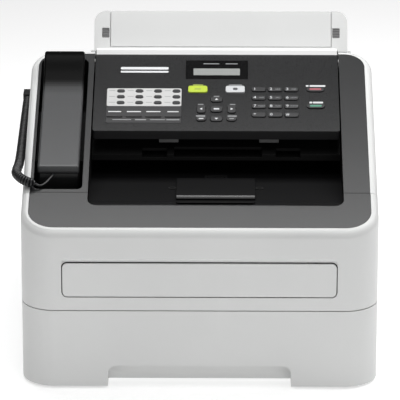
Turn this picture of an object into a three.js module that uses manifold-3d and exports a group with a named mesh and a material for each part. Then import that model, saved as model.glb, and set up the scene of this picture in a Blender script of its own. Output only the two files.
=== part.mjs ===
// A desktop laser fax machine with a handset, as an assembly of separate pieces.
// Millimetres. +Z is up, +Y goes to the back, +X to the right as one faces it.
// The origin is on the table, under the middle of the casing.
import * as THREE from "three";
import Module from "manifold-3d";
import { mergeVertices } from "three/addons/utils/BufferGeometryUtils.js";

const wasm = await Module();
wasm.setup();

// ---- driving dimensions: the casing ----
const WIDTH = 368; // side to side
const DEPTH = 360; // front to back
const FRONT_RADIUS = 35; // plan corners of the front
const REAR_RADIUS = 24; // plan corners of the back
const SHOULDER_RADIUS = 30; // plan corners where the slope ends at the back
const FOOT_HEIGHT = 3;
const FOOT_RADIUS = 10;
const WALL = 2.5; // moulded casing wall
const FRONT_WALL = 3; // wall of the front cover and of the tray's front
const TUB_WALL = 2.5; // moulded wall of the dark top's hollows
const FIT = 0.3; // gap between pieces that touch
const SEAM = 1; // gap between pieces that open
const SLOPE_AT_ZERO = 229.7; // height of the sloped top over the origin
const SLOPE_RISE = 0.316; // rise of the sloped top for each mm back
const CREST_SETBACK = 60; // from the back to where the slope ends
const REAR_DROP = 42.6; // from the crest down to the back wall's top
const EDGE_RADIUS = 7; // rounding of the casing's upper edges
const RIM = 8; // light rim round the dark top
const COVER_DEPTH = 64; // front cover, from the front to its seam
const REAR_COVER_DEPTH = 30; // rear cover, from the back to its seam

// ---- paper tray and manual feed door ----
const TRAY_TOP = 86.5; // top of the tray's front
const TRAY_WRAP = 40; // how far the tray's front goes round the corners
const TRAY_SIDE_ROOM = 36; // from the casing's side to the tray box
const TRAY_REAR_ROOM = 38; // from the casing's back to the tray box
const TRAY_FLOOR = 8; // height of the tray's inner floor
const TRAY_WALL_TOP = 58;
const NOTCH_HALF = 94.5; // hand notch under the tray's front
const NOTCH_HEIGHT = 26;
const NOTCH_DEPTH = 22;
const NOTCH_RADIUS = 9;
const DOOR_HALF = 140.5; // manual feed door
const DOOR_ABOVE_TRAY = 15.9;
const DOOR_HEIGHT = 36.2;
const DOOR_RADIUS = 5;
const SCOOP_HEIGHT = 5.5; // finger scoop over the door
const SCOOP_DEPTH = 2.6;
const PLATE_HALF = 104; // paper-lifting plate
const PLATE_LENGTH = 205;
const PLATE_THICK = 1.2;
const GUIDE_X = 107; // inner face of a paper guide, set for wide paper
const GUIDE_TRAVEL = 50;
const GUIDE_LENGTH = 90;
const GUIDE_WALL = 3;
const GUIDE_FROM_HINGE = 45; // from the lifting plate's hinge to the guides

// ---- output recess, with its flap ----
const RECESS_SIDE = 35.5; // from the casing's right side
const RECESS_FRONT = 43; // from the casing's front
const RECESS_RADIUS = 10;
const RECESS_BACK = 48; // from the crest to the recess's back wall
const RAMP_LENGTH = 27; // ramp at the front of the recess
const FLOOR_DEPTH = 47.7; // from the slope's height over the origin to the ramp's foot
const FLOOR_DROP = 0.088; // the floor falls this much for each mm back
const EXIT_SLOT_LOW = 3; // paper exit above the recess floor
const EXIT_SLOT_HIGH = 12;
const EXIT_HALF = 109;
const FLAP_WIDTH = 82;
const FLAP_LENGTH = 78;
const FLAP_THICK = 2.4;
const FLAP_TAB = 15;
const FLAP_RIBS = 5;

// ---- handset, its cradle and its cord ----
const HANDSET_WIDTH = 43;
const HANDSET_PROUD = 8; // handset's back above the dark top
const CRADLE_SIDE = 11; // from the casing's left side to the cradle
const CRADLE_GAP = 4; // cradle wall to the handset
const CRADLE_BRIDGE = 6; // between the cradle and the recess
const CRADLE_FRONT = 69; // from the casing's front
const CRADLE_BACK = 8; // from the crest to the cradle's rear wall
const HANDSET_SETBACK = 26; // cradle's front wall to the handset
const FRONT_WELL = 65; // length of the cradle's front well
const REAR_WELL = 68;
const FRONT_WELL_DEPTH = 57.7; // below the slope's height over the origin
const REAR_WELL_DEPTH = 26.6; // below the slope at the well's front
const CRADLE_CORNER = 6; // plan corners of the cradle at its front
const CRADLE_REAR_CORNER = 10;
const CRADLE_REST = 15; // depth of the cradle between its two wells
const EAR_RISE = 11.4; // top of the ear end above the crest
const HOOK_HALF = 4; // switch hook in the rear well
const HOOK_RISE = 9.5;
const CORD_WIRE = 2; // curly cord
const CORD_COIL = 10.2;
const JACK_FROM_REAR = 45; // cord socket in the left side
const JACK_DROP = 11; // below the back wall's top
const JACK_HALF = 6;
const PLUG_STANDOFF = 11;

// ---- control panel and document feeder ----
const PANEL_RUN = 134; // from the crest to the panel's front edge, level
const PANEL_GAP = 1.5; // control panel to the recess walls
const PANEL_LIP = 11; // height of the panel's front edge
const PANEL_SKIN = 3;
const PANEL_RIDGE = 3; // rear ridge above the slope
const PANEL_RIDGE_DEPTH = 8;
const KEY_PROUD = 1.2; // keys above the panel
const KEY_GAP = 0.5;
const KEY_DEPTH = 6;
const KEY_FLANGE = 1.1; // collar that holds a key under the panel
const DIGIT_X = 45.25; // number keys: all X values below are from the panel's middle
const DIGIT_PITCH = 17.4;
const DIGIT_W = 74; // W values are up the slope from the panel's front edge
const DIGIT_ROW = 15.3;
const DIGIT_WIDE = 14.6;
const DIGIT_HIGH = 7;
const ACTION_X = 105.95; // stop and start
const STOP_W = 74.2;
const START_W = 44;
const ACTION_WIDE = 18.5;
const ACTION_HIGH = 7.5;
const MODE_W = 74.3; // fax and copy
const FAX_X = -19.95;
const COPY_X = 20.15;
const MODE_WIDE = 20.5;
const MODE_HIGH = 11.4;
const PAD_X = 0.15; // navigation keys
const PAD_W = 38;
const PAD_SIDE = 16.2;
const PAD_UP = 17.4;
const LCD_X = 0.35; // display window
const LCD_W = 111;
const LCD_WIDE = 67;
const LCD_HIGH = 34;
const LCD_THICK = 2;
const CARD_X = -77.15; // one-touch keys on one mat
const CARD_W = 59.8;
const CARD_WIDE = 80;
const CARD_HIGH = 33;
const OVAL_PITCH = 19.8;
const OVAL_ROW = 10.6;
const BAR_W = 26.4; // the row of long keys under the card
const BAR_PITCH = 20.6;
const BAR_WIDE = 17;
const MAT_THICK = 2;
const MAT_LOW = 14; // lower end of the mat
const FEED_GAP = 6; // document path under the panel
const HOUSING_DEPTH = 39.7; // from the slope's height over the origin to the feeder's underside
const HOUSING_WALL = 2.5;
const LEDGE_HEIGHT = 7; // front ledge of the feeder
const LEDGE_FORWARD = 6; // panel's front edge to the ledge, going back
const SHELF_LEFT = -44.65; // opening in the middle of the ledge
const SHELF_RIGHT = 48.55;
const FEED_ROLLER_RADIUS = 8;
const FEED_ROLLER_HALF = 20;
const FEED_SHAFT_HALF = 50;
const FEED_ROLLER_BACK = 76; // from the panel's front edge

// ---- document support ----
const SUPPORT_OFFSET = 4.35; // its middle, from the panel's middle
const SUPPORT_WIDTH = 276;
const SUPPORT_THICK = 5;
const SUPPORT_LENGTH = 46;
const SUPPORT_TAIL = 6; // below its pivot
const SUPPORT_BEHIND_CREST = 18;
const SUPPORT_ABOVE_CREST = 2.4;
const SUPPORT_LEAN = 32.7 * Math.PI / 180;
const EXTENSION_INSET = 18; // from the support's side to its extension
const EXTENSION_THICK = 2;
const EAR_GAP = 0.5; // ears that hold the support's pivots
const EAR_WIDE = 3.5;
const EAR_DROP = 7;
const BED_DROP = 24; // pivot to the underside of the support's bed
const BED_THICK = 3;

// ---- back, sides and what the chassis carries ----
const SWITCH_FROM_REAR = 70; // power switch, in the right side
const SWITCH_Z = 40;
const SWITCH_LONG = 22;
const SWITCH_HIGH = 14;
const REAR_DOOR_HALF = 120;
const REAR_DOOR_LOW = 72;
const REAR_DOOR_HIGH = 190;
const REAR_DOOR_RIB = 12; // depth of the rear door's paper ribs
const INLET_FROM_SIDE = 44; // power inlet
const INLET_Z = 40;
const INLET_WIDE = 28;
const INLET_HIGH = 21;
const FRAME_PLATE = 4; // thickness of the chassis sides
const FRAME_CLEAR = 1.2; // chassis to the casing's wall
const FRAME_TOP = 150;
const FRAME_SHORT = 20; // the chassis stops this much before the back
const DECK_THICK = 3;
const DECK_OVER_TRAY = 4;
const FUSER_FROM_REAR = 80; // front of the fuser
const FUSER_HALF = 126;
const FUSER_RISE = 19; // over the deck
const DRUM_FROM_COVER = 96; // middle of the drum unit, from the front cover's seam
const DRUM_HALF = 124;
const DRUM_REACH = 45;
const DRUM_RADIUS = 12;
const TONER_HALF = 114;
const PICKUP_RADIUS = 12;
const PICKUP_AHEAD = 6; // from the front cover's seam, forwards
const EXIT_ROLLER_RADIUS = 7;

// ---- places worked out from them ----
const FRONT = -DEPTH / 2;
const REAR = DEPTH / 2;
const HALF = WIDTH / 2;
const SLOPE = Math.atan(SLOPE_RISE);
const slopeZ = (y) => SLOPE_AT_ZERO + SLOPE_RISE * y;
const CREST_Y = REAR - CREST_SETBACK;
const CREST_Z = slopeZ(CREST_Y);
const REAR_TOP = CREST_Z - REAR_DROP;
const COVER_Y = FRONT + COVER_DEPTH;
const REAR_SEAM_Y = REAR - REAR_COVER_DEPTH;
const TRAY_WRAP_Y = FRONT + TRAY_WRAP;
const TRAY_HALF = HALF - TRAY_SIDE_ROOM;
const TRAY_REAR_Y = REAR - TRAY_REAR_ROOM;
const DECK_Z = TRAY_WALL_TOP + DECK_OVER_TRAY;
const DOOR_LOW = TRAY_TOP + DOOR_ABOVE_TRAY;
const DOOR_HIGH = DOOR_LOW + DOOR_HEIGHT;
const CRADLE_LEFT = -HALF + CRADLE_SIDE;
const CRADLE_RIGHT = CRADLE_LEFT + HANDSET_WIDTH + 2 * CRADLE_GAP;
const CRADLE_FRONT_Y = FRONT + CRADLE_FRONT;
const CRADLE_REAR_Y = CREST_Y - CRADLE_BACK;
const HANDSET_X = (CRADLE_LEFT + CRADLE_RIGHT) / 2;
const HANDSET_FRONT_Y = CRADLE_FRONT_Y + HANDSET_SETBACK;
const WELL_FRONT_Y = CRADLE_FRONT_Y + FRONT_WELL;
const WELL_REAR_Y = CRADLE_REAR_Y - REAR_WELL;
const CRADLE_WELL_Z = SLOPE_AT_ZERO - FRONT_WELL_DEPTH;
const CRADLE_REAR_Z = slopeZ(WELL_REAR_Y) - REAR_WELL_DEPTH;
const EAR_TOP = CREST_Z + EAR_RISE;
const HOOK_Y = WELL_REAR_Y + 14;
const HOOK_TOP_Z = CRADLE_REAR_Z + HOOK_RISE;
const JACK_Y = REAR - JACK_FROM_REAR;
const JACK_Z = REAR_TOP - JACK_DROP;
const RECESS_LEFT = CRADLE_RIGHT + CRADLE_BRIDGE;
const RECESS_RIGHT = HALF - RECESS_SIDE;
const RECESS_FRONT_Y = FRONT + RECESS_FRONT;
const RECESS_BACK_Y = CREST_Y - RECESS_BACK;
const FLOOR_STEP_Y = RECESS_FRONT_Y + RAMP_LENGTH;
const FLOOR_FRONT_Z = SLOPE_AT_ZERO - FLOOR_DEPTH;
const floorZ = (y) => FLOOR_FRONT_Z - FLOOR_DROP * (y - FLOOR_STEP_Y);
const FLAP_HINGE_Y = FLOOR_STEP_Y + 3;
const PANEL_LEFT = RECESS_LEFT + PANEL_GAP;
const PANEL_RIGHT = RECESS_RIGHT - PANEL_GAP;
const PANEL_X = (PANEL_LEFT + PANEL_RIGHT) / 2;
const PANEL_FRONT_Y = CREST_Y - PANEL_RUN;
const PANEL_LENGTH = PANEL_RUN / Math.cos(SLOPE);
const HOUSING_LOW = SLOPE_AT_ZERO - HOUSING_DEPTH;
const LEDGE_Y = PANEL_FRONT_Y + LEDGE_FORWARD;
const LEDGE_Z = HOUSING_LOW + LEDGE_HEIGHT;
const FEED_ROLLER_Y = PANEL_FRONT_Y + FEED_ROLLER_BACK;
const FEED_ROLLER_Z = slopeZ(FEED_ROLLER_Y) - PANEL_LIP - FEED_GAP - FEED_ROLLER_RADIUS + 3;
const SUPPORT_X = PANEL_X + SUPPORT_OFFSET;
const EXTENSION_WIDTH = SUPPORT_WIDTH - 2 * EXTENSION_INSET;
const SUPPORT_Y = CREST_Y + SUPPORT_BEHIND_CREST;
const SUPPORT_Z = CREST_Z + SUPPORT_ABOVE_CREST;
const SWITCH_Y = REAR - SWITCH_FROM_REAR;
const INLET_X = HALF - INLET_FROM_SIDE;
const PLATE_FRONT = FRONT + NOTCH_DEPTH + 8;
const PLATE_REAR = PLATE_FRONT + PLATE_LENGTH;
const GUIDE_REAR_Y = PLATE_REAR - GUIDE_FROM_HINGE;
const GUIDE_FRONT_Y = GUIDE_REAR_Y - GUIDE_LENGTH;
const FRAME_HALF = HALF - WALL - FRAME_CLEAR;
const FRAME_FRONT = COVER_Y + 4;
const FRAME_REAR = REAR - WALL - 4 - FRAME_SHORT;
const FUSER_Y = REAR - FUSER_FROM_REAR;
const FUSER_Z = DECK_Z + FUSER_RISE + 3;
const DRUM_Y = COVER_Y + DRUM_FROM_COVER;
const DRUM_Z = DECK_Z + 30;
const TALL = 600; // taller than anything cut by it

// ---- helpers: closed geometries and boolean joins ----
function solid(geometry) {
  const plain = geometry.clone();
  plain.deleteAttribute("normal");
  plain.deleteAttribute("uv");
  const merged = mergeVertices(plain, 1e-4);
  return new wasm.Manifold(new wasm.Mesh({
    numProp: 3,
    vertProperties: new Float32Array(merged.attributes.position.array),
    triVerts: new Uint32Array(merged.index.array),
  }));
}

function geometryOf(shape) {
  const mesh = shape.getMesh();
  const geometry = new THREE.BufferGeometry();
  const places = new Float32Array(mesh.numVert * 3);
  for (let i = 0; i < mesh.numVert; i++) {
    for (let k = 0; k < 3; k++) places[i * 3 + k] = mesh.vertProperties[i * mesh.numProp + k];
  }
  geometry.setAttribute("position", new THREE.BufferAttribute(places, 3));
  geometry.setIndex(new THREE.BufferAttribute(new Uint32Array(mesh.triVerts), 1));
  geometry.computeVertexNormals();
  return geometry;
}

// A block between two corners.
function block(x0, x1, y0, y1, z0, z1) {
  const box = new THREE.BoxGeometry(x1 - x0, y1 - y0, z1 - z0);
  box.translate((x0 + x1) / 2, (y0 + y1) / 2, (z0 + z1) / 2);
  return solid(box);
}

// An outline in the Y-Z plane, drawn out along X.
function along(points, x0, x1) {
  const shape = new THREE.Shape(points.map(([y, z]) => new THREE.Vector2(y, z)));
  return drawnAlongX(shape, x0, x1);
}

function drawnAlongX(shape, x0, x1, curveSegments = 4) {
  const geometry = new THREE.ExtrudeGeometry(shape, {
    depth: x1 - x0, bevelEnabled: false, curveSegments,
  });
  geometry.rotateZ(Math.PI / 2);
  geometry.rotateY(Math.PI / 2);
  geometry.translate(x0, 0, 0);
  return solid(geometry);
}

// A plan shape, drawn up along Z.
function upright(shape, z0, z1, curveSegments = 6) {
  const geometry = new THREE.ExtrudeGeometry(shape, {
    depth: z1 - z0, bevelEnabled: false, curveSegments,
  });
  geometry.translate(0, 0, z0);
  return solid(geometry);
}

// A rounded rectangle; the radii are for the front and the back corners.
function roundedShape(x0, x1, y0, y1, front, back = front) {
  const s = new THREE.Shape();
  s.moveTo(x0 + front, y0);
  s.lineTo(x1 - front, y0);
  s.absarc(x1 - front, y0 + front, front, -Math.PI / 2, 0, false);
  s.lineTo(x1, y1 - back);
  s.absarc(x1 - back, y1 - back, back, 0, Math.PI / 2, false);
  s.lineTo(x0 + back, y1);
  s.absarc(x0 + back, y1 - back, back, Math.PI / 2, Math.PI, false);
  s.lineTo(x0, y0 + front);
  s.absarc(x0 + front, y0 + front, front, Math.PI, 1.5 * Math.PI, false);
  return s;
}

// A rounded bar along X between two ends.
function rod(radius, x0, x1, y, z, sides = 16) {
  const geometry = new THREE.CylinderGeometry(radius, radius, x1 - x0, sides);
  geometry.rotateZ(Math.PI / 2);
  geometry.translate((x0 + x1) / 2, y, z);
  return solid(geometry);
}

// The band between two heights that both follow the sloped top.
function slopeBand(y0, y1, lower, upper, x0 = -HALF, x1 = HALF) {
  return along([
    [y0, slopeZ(y0) + lower], [y1, slopeZ(y1) + lower],
    [y1, slopeZ(y1) + upper], [y0, slopeZ(y0) + upper],
  ], x0, x1);
}

// ---- the outer shape, pulled in by some inset ----
const EDGE_STEPS = 5;

// A plan outline at some inset, as points.
function planRing(rear, rearRadius, inset) {
  return roundedShape(-HALF + inset, HALF - inset, FRONT + inset, rear - inset,
    FRONT_RADIUS - inset, rearRadius - inset).getPoints(10);
}

// Upright walls under a sloped top, with one even rounding all the way round the upper edge.
// At the back the wall leans in from its full depth to where the slope ends.
function envelope(inset) {
  const tilt = Math.hypot(1, SLOPE_RISE);
  const radius = EDGE_RADIUS - inset;
  const low = FOOT_HEIGHT - (inset > 0 ? 1 : 0);
  const walls = planRing(REAR, REAR_RADIUS, inset);
  const rings = [
    walls.map((p) => [p.x, p.y, low]),
    walls.map((p) => [p.x, p.y,
      Math.min(REAR_TOP - inset, slopeZ(p.y) - EDGE_RADIUS * tilt - 1)]),
  ];
  for (let k = 0; k <= EDGE_STEPS; k++) {
    const turn = (k / EDGE_STEPS) * Math.PI / 2;
    const pulledIn = radius * (1 - Math.cos(turn));
    const below = (inset + radius * (1 - Math.sin(turn))) * tilt;
    rings.push(planRing(CREST_Y + RIM, SHOULDER_RADIUS, inset + pulledIn)
      .map((p) => [p.x, p.y, slopeZ(p.y) - below]));
  }
  const count = rings[0].length - 1; // the last point of an outline repeats its first
  const faces = [];
  for (let k = 0; k + 1 < rings.length; k++) {
    for (let i = 0; i < count; i++) {
      const a = k * count + i;
      const b = k * count + (i + 1) % count;
      faces.push(a, b, b + count, a, b + count, a + count);
    }
  }
  const outline = rings[0].slice(0, count).map(([x, y]) => new THREE.Vector2(x, y));
  const top = (rings.length - 1) * count;
  for (const [a, b, c] of THREE.ShapeUtils.triangulateShape(outline, [])) {
    faces.push(c, b, a, top + a, top + b, top + c);
  }
  const places = rings.flatMap((ring) => ring.slice(0, count)).flat();
  const geometry = new THREE.BufferGeometry();
  geometry.setAttribute("position", new THREE.Float32BufferAttribute(places, 3));
  geometry.setIndex(faces);
  return solid(geometry);
}

const outer = envelope(0);
const casing = outer.subtract(envelope(WALL));

// The dark top lies inside the light rim.
const topPlan = (inset) => upright(roundedShape(-HALF + RIM + inset, HALF - RIM - inset,
  FRONT + RIM + inset, CREST_Y - inset, FRONT_RADIUS - RIM, SHOULDER_RADIUS - RIM), 100, TALL);
const darkArea = topPlan(0);
const CORNER_X = HALF - SHOULDER_RADIUS + RIM; // where the side covers take over the corners

// ---- casing pieces ----
function sideCover(side) {
  const x0 = side < 0 ? -HALF : HALF - RIM;
  const x1 = side < 0 ? -HALF + RIM : HALF;
  const upper = block(x0, x1, COVER_Y + FIT, REAR_SEAM_Y, TRAY_TOP, TALL);
  const lower = block(x0, x1, TRAY_WRAP_Y + FIT, REAR_SEAM_Y, 0, TRAY_TOP + SEAM - FIT);
  const corner = block(side < 0 ? x0 : CORNER_X + FIT, side < 0 ? -CORNER_X - FIT : x1,
    CREST_Y - SHOULDER_RADIUS, CREST_Y, REAR_TOP, TALL).subtract(topPlan(0));
  return casing.intersect(upper.add(lower).add(corner));
}

const leftCover = () => sideCover(-1).subtract(block(-HALF - 1, -HALF + RIM,
  JACK_Y - JACK_HALF, JACK_Y + JACK_HALF, JACK_Z - JACK_HALF, JACK_Z + JACK_HALF));

const rightCover = () => sideCover(1).subtract(block(HALF - RIM, HALF + 1,
  SWITCH_Y - SWITCH_LONG / 2 - FIT, SWITCH_Y + SWITCH_LONG / 2 + FIT,
  SWITCH_Z - SWITCH_HIGH / 2 - FIT, SWITCH_Z + SWITCH_HIGH / 2 + FIT));

function rearCover() {
  const back = block(-HALF, HALF, REAR_SEAM_Y + FIT, REAR, 0, TALL);
  const inner = HALF - RIM - FIT;
  const strip = block(-inner, inner, CREST_Y + FIT, REAR_SEAM_Y + 1, REAR_TOP - 75, TALL)
    .add(block(-HALF, HALF, REAR_SEAM_Y + FIT, REAR_SEAM_Y + 1, REAR_TOP - 75, TALL))
    .add(block(-CORNER_X, CORNER_X, CREST_Y - RIM, CREST_Y + 1, REAR_TOP, TALL)
      .subtract(topPlan(0)));
  const low = CREST_Z - 30;
  const panelRoom = block(PANEL_LEFT - 1, PANEL_RIGHT + 1,
    CREST_Y - 1, CREST_Y + PANEL_RIDGE_DEPTH + 6, low, TALL);
  const supportHalf = SUPPORT_WIDTH / 2;
  const supportRoom = block(SUPPORT_X - supportHalf - 1, SUPPORT_X + supportHalf + 1,
    SUPPORT_Y - 7, SUPPORT_Y + 7, low, TALL);
  const doorway = block(-REAR_DOOR_HALF - SEAM, REAR_DOOR_HALF + SEAM,
    REAR - 10, REAR + 1, REAR_DOOR_LOW - SEAM, REAR_DOOR_HIGH + SEAM);
  const inlet = block(INLET_X - INLET_WIDE / 2, INLET_X + INLET_WIDE / 2,
    REAR - 10, REAR + 1, INLET_Z - INLET_HIGH / 2, INLET_Z + INLET_HIGH / 2);
  return casing.intersect(back.add(strip))
    .subtract(panelRoom).subtract(supportRoom).subtract(doorway).subtract(inlet)
    .add(supportBed());
}

// A bed under the document support, with an ear at each end that holds its pivot.
function supportBed() {
  const reach = SUPPORT_WIDTH / 2 + EAR_GAP;
  const low = SUPPORT_Z - BED_DROP;
  let bed = block(SUPPORT_X - reach - EAR_WIDE, SUPPORT_X + reach + EAR_WIDE,
    SUPPORT_Y - 6, SUPPORT_Y + 14, low, low + BED_THICK).intersect(envelope(0.5));
  for (const x of [SUPPORT_X - reach - EAR_WIDE, SUPPORT_X + reach]) {
    bed = bed.add(block(x, x + EAR_WIDE, SUPPORT_Y - 6, SUPPORT_Y + 8, low, SUPPORT_Z - EAR_DROP));
  }
  return bed;
}

function rearDoor() {
  const plate = block(-REAR_DOOR_HALF, REAR_DOOR_HALF, REAR - WALL, REAR,
    REAR_DOOR_LOW, REAR_DOOR_HIGH);
  const ribs = [];
  for (let i = -2; i <= 2; i++) {
    ribs.push(block(i * 45 - 1, i * 45 + 1, REAR - REAR_DOOR_RIB, REAR - WALL + 0.5,
      REAR_DOOR_LOW + 6, REAR_DOOR_HIGH - 6));
  }
  const lip = block(-30, 30, REAR - WALL, REAR + 1.5, REAR_DOOR_HIGH - 8, REAR_DOOR_HIGH - 4);
  return ribs.reduce((a, b) => a.add(b), plate).add(lip);
}

// ---- the front cover, its dark trim and the manual feed door ----
function frontCover() {
  const zone = block(-HALF, HALF, FRONT, COVER_Y - FIT, TRAY_TOP + SEAM, TALL);
  const thick = outer.subtract(envelope(FRONT_WALL)).intersect(zone);
  const top = topPlan(-FIT).intersect(slopeBand(FRONT, COVER_Y + 1, -8, 60));
  let cover = thick.subtract(top);
  const opening = doorShape(SEAM);
  cover = cover.subtract(frontal(opening, FRONT - 1, FRONT + 12));
  const pad = block(-DOOR_HALF - 4, DOOR_HALF + 4, FRONT + 0.5, FRONT + SCOOP_DEPTH + FRONT_WALL,
    DOOR_HIGH + SEAM, DOOR_HIGH + SCOOP_HEIGHT + 4);
  // the scoop is deepest at the door's upper edge and runs out to nothing above it
  const wedge = along([
    [FRONT - 1, DOOR_HIGH - 4], [FRONT + SCOOP_DEPTH, DOOR_HIGH - 4],
    [FRONT + SCOOP_DEPTH, DOOR_HIGH + SEAM], [FRONT, DOOR_HIGH + SCOOP_HEIGHT],
    [FRONT - 1, DOOR_HIGH + SCOOP_HEIGHT],
  ], -HALF, HALF);
  const scoop = frontal(roundedShape(-DOOR_HALF - SEAM, DOOR_HALF + SEAM, DOOR_LOW,
    DOOR_HIGH + SCOOP_HEIGHT, DOOR_RADIUS + SEAM), FRONT - 2, FRONT + SCOOP_DEPTH).intersect(wedge);
  return cover.add(pad).subtract(scoop);
}

// A shape drawn in the X-Z plane, given depth along Y.
function frontal(shape, y0, y1, curveSegments = 4) {
  const geometry = new THREE.ExtrudeGeometry(shape, {
    depth: y1 - y0, bevelEnabled: false, curveSegments,
  });
  geometry.rotateX(Math.PI / 2);
  geometry.translate(0, y1, 0);
  return solid(geometry);
}

const doorShape = (grow) => roundedShape(-DOOR_HALF - grow, DOOR_HALF + grow,
  DOOR_LOW - grow, DOOR_HIGH + grow, DOOR_RADIUS + grow);

function manualFeedDoor() {
  const plate = frontal(doorShape(0), FRONT, FRONT + WALL);
  const ledge = block(-DOOR_HALF + 20, DOOR_HALF - 20, FRONT + WALL - 0.5, FRONT + 10,
    DOOR_LOW + 4, DOOR_LOW + 7);
  return plate.add(ledge);
}

// Floor of the output recess: a ramp at the front, then a gentle fall to the back.
function recessVoid(inset, lower) {
  const outline = [
    [RECESS_FRONT_Y + inset, slopeZ(RECESS_FRONT_Y + inset) - lower],
    [FLOOR_STEP_Y, FLOOR_FRONT_Z - lower],
    [RECESS_BACK_Y - inset, floorZ(RECESS_BACK_Y) - lower],
    [RECESS_BACK_Y - inset, TALL],
    [RECESS_FRONT_Y + inset, TALL],
  ];
  const plan = roundedShape(RECESS_LEFT + inset, RECESS_RIGHT - inset,
    RECESS_FRONT_Y + inset, REAR, RECESS_RADIUS - inset, 1);
  return along(outline, -HALF, HALF).intersect(upright(plan, 100, TALL));
}

function belowSlope(y0, y1) {
  return slopeBand(y0, y1, -120, 0);
}

// The dark band in front of the seam, with the front of the recess.
function frontTrim() {
  const zone = block(-HALF, HALF, FRONT, COVER_Y - FIT, 100, TALL);
  const slab = darkArea.intersect(slopeBand(FRONT, CREST_Y, -WALL, 0)).intersect(zone);
  const tub = recessVoid(-TUB_WALL, TUB_WALL).intersect(belowSlope(FRONT, COVER_Y)).intersect(zone);
  const notch = block(PANEL_X - FLAP_WIDTH / 2, PANEL_X + FLAP_WIDTH / 2,
    FLOOR_STEP_Y - 22, FLOOR_STEP_Y - 8, FLOOR_FRONT_Z + 0.4, FLOOR_FRONT_Z + 8);
  return slab.add(tub).subtract(recessVoid(0, 0)).subtract(notch);
}

// ---- the dark top cover: slab, output recess and handset cradle ----
function cradleVoid(inset) {
  const outline = [
    [CRADLE_FRONT_Y + inset, CRADLE_WELL_Z + inset],
    [WELL_FRONT_Y - inset, CRADLE_WELL_Z + inset],
    [WELL_FRONT_Y - inset + 6, slopeZ(WELL_FRONT_Y) - CRADLE_REST + inset],
    [WELL_REAR_Y + inset - 6, slopeZ(WELL_REAR_Y) - CRADLE_REST + inset],
    [WELL_REAR_Y + inset, CRADLE_REAR_Z + inset],
    [CRADLE_REAR_Y - inset, CRADLE_REAR_Z + inset],
    [CRADLE_REAR_Y - inset, TALL],
    [CRADLE_FRONT_Y + inset, TALL],
  ];
  const plan = roundedShape(CRADLE_LEFT + inset, CRADLE_RIGHT - inset,
    CRADLE_FRONT_Y + inset, CRADLE_REAR_Y - inset, CRADLE_CORNER, CRADLE_REAR_CORNER);
  return along(outline, -HALF, HALF).intersect(upright(plan, 100, TALL));
}

function topCover() {
  const zone = topPlan(FIT).intersect(
    block(-HALF, HALF, COVER_Y + FIT, CREST_Y, 100, TALL));
  const slab = slopeBand(COVER_Y, CREST_Y, -WALL, 0).intersect(zone);
  const below = belowSlope(COVER_Y, CREST_Y).intersect(zone);
  const tub = recessVoid(-TUB_WALL, TUB_WALL).intersect(below);
  const cradle = cradleVoid(-TUB_WALL).intersect(below);
  const panelWell = block(RECESS_LEFT, RECESS_RIGHT, PANEL_FRONT_Y, CREST_Y,
    HOUSING_LOW - FIT, TALL);
  const walls = block(RECESS_LEFT - TUB_WALL, RECESS_RIGHT + TUB_WALL,
    RECESS_BACK_Y - 5, CREST_Y, floorZ(RECESS_BACK_Y) + 10, TALL)
    .intersect(below)
    .subtract(block(RECESS_LEFT, RECESS_RIGHT, RECESS_BACK_Y + TUB_WALL, REAR, 0, TALL));
  const exit = block(PANEL_X - EXIT_HALF, PANEL_X + EXIT_HALF, RECESS_BACK_Y - 1,
    RECESS_BACK_Y + TUB_WALL + 1, floorZ(RECESS_BACK_Y) + EXIT_SLOT_LOW,
    floorZ(RECESS_BACK_Y) + EXIT_SLOT_HIGH);
  const hook = block(HANDSET_X - HOOK_HALF - FIT, HANDSET_X + HOOK_HALF + FIT,
    HOOK_Y - HOOK_HALF - FIT, HOOK_Y + HOOK_HALF + FIT,
    CRADLE_REAR_Z - 10, CRADLE_REAR_Z + 5);
  return slab.add(tub).add(cradle).add(walls)
    .subtract(recessVoid(0, 0))
    .subtract(panelWell)
    .subtract(cradleVoid(0))
    .subtract(exit)
    .subtract(hook);
}

function hookSwitch() {
  const stem = block(HANDSET_X - HOOK_HALF, HANDSET_X + HOOK_HALF, HOOK_Y - HOOK_HALF,
    HOOK_Y + HOOK_HALF, CRADLE_REAR_Z - 9, HOOK_TOP_Z - 1.5);
  const head = along([
    [HOOK_Y - HOOK_HALF, HOOK_TOP_Z - 2], [HOOK_Y + HOOK_HALF, HOOK_TOP_Z - 2],
    [HOOK_Y + HOOK_HALF, HOOK_TOP_Z - 1], [HOOK_Y, HOOK_TOP_Z],
    [HOOK_Y - HOOK_HALF, HOOK_TOP_Z - 1],
  ], HANDSET_X - HOOK_HALF, HANDSET_X + HOOK_HALF);
  const collar = block(HANDSET_X - HOOK_HALF - 2, HANDSET_X + HOOK_HALF + 2, HOOK_Y - HOOK_HALF - 2,
    HOOK_Y + HOOK_HALF + 2, CRADLE_REAR_Z - 9, CRADLE_REAR_Z - 7);
  return stem.add(head).add(collar);
}

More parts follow.
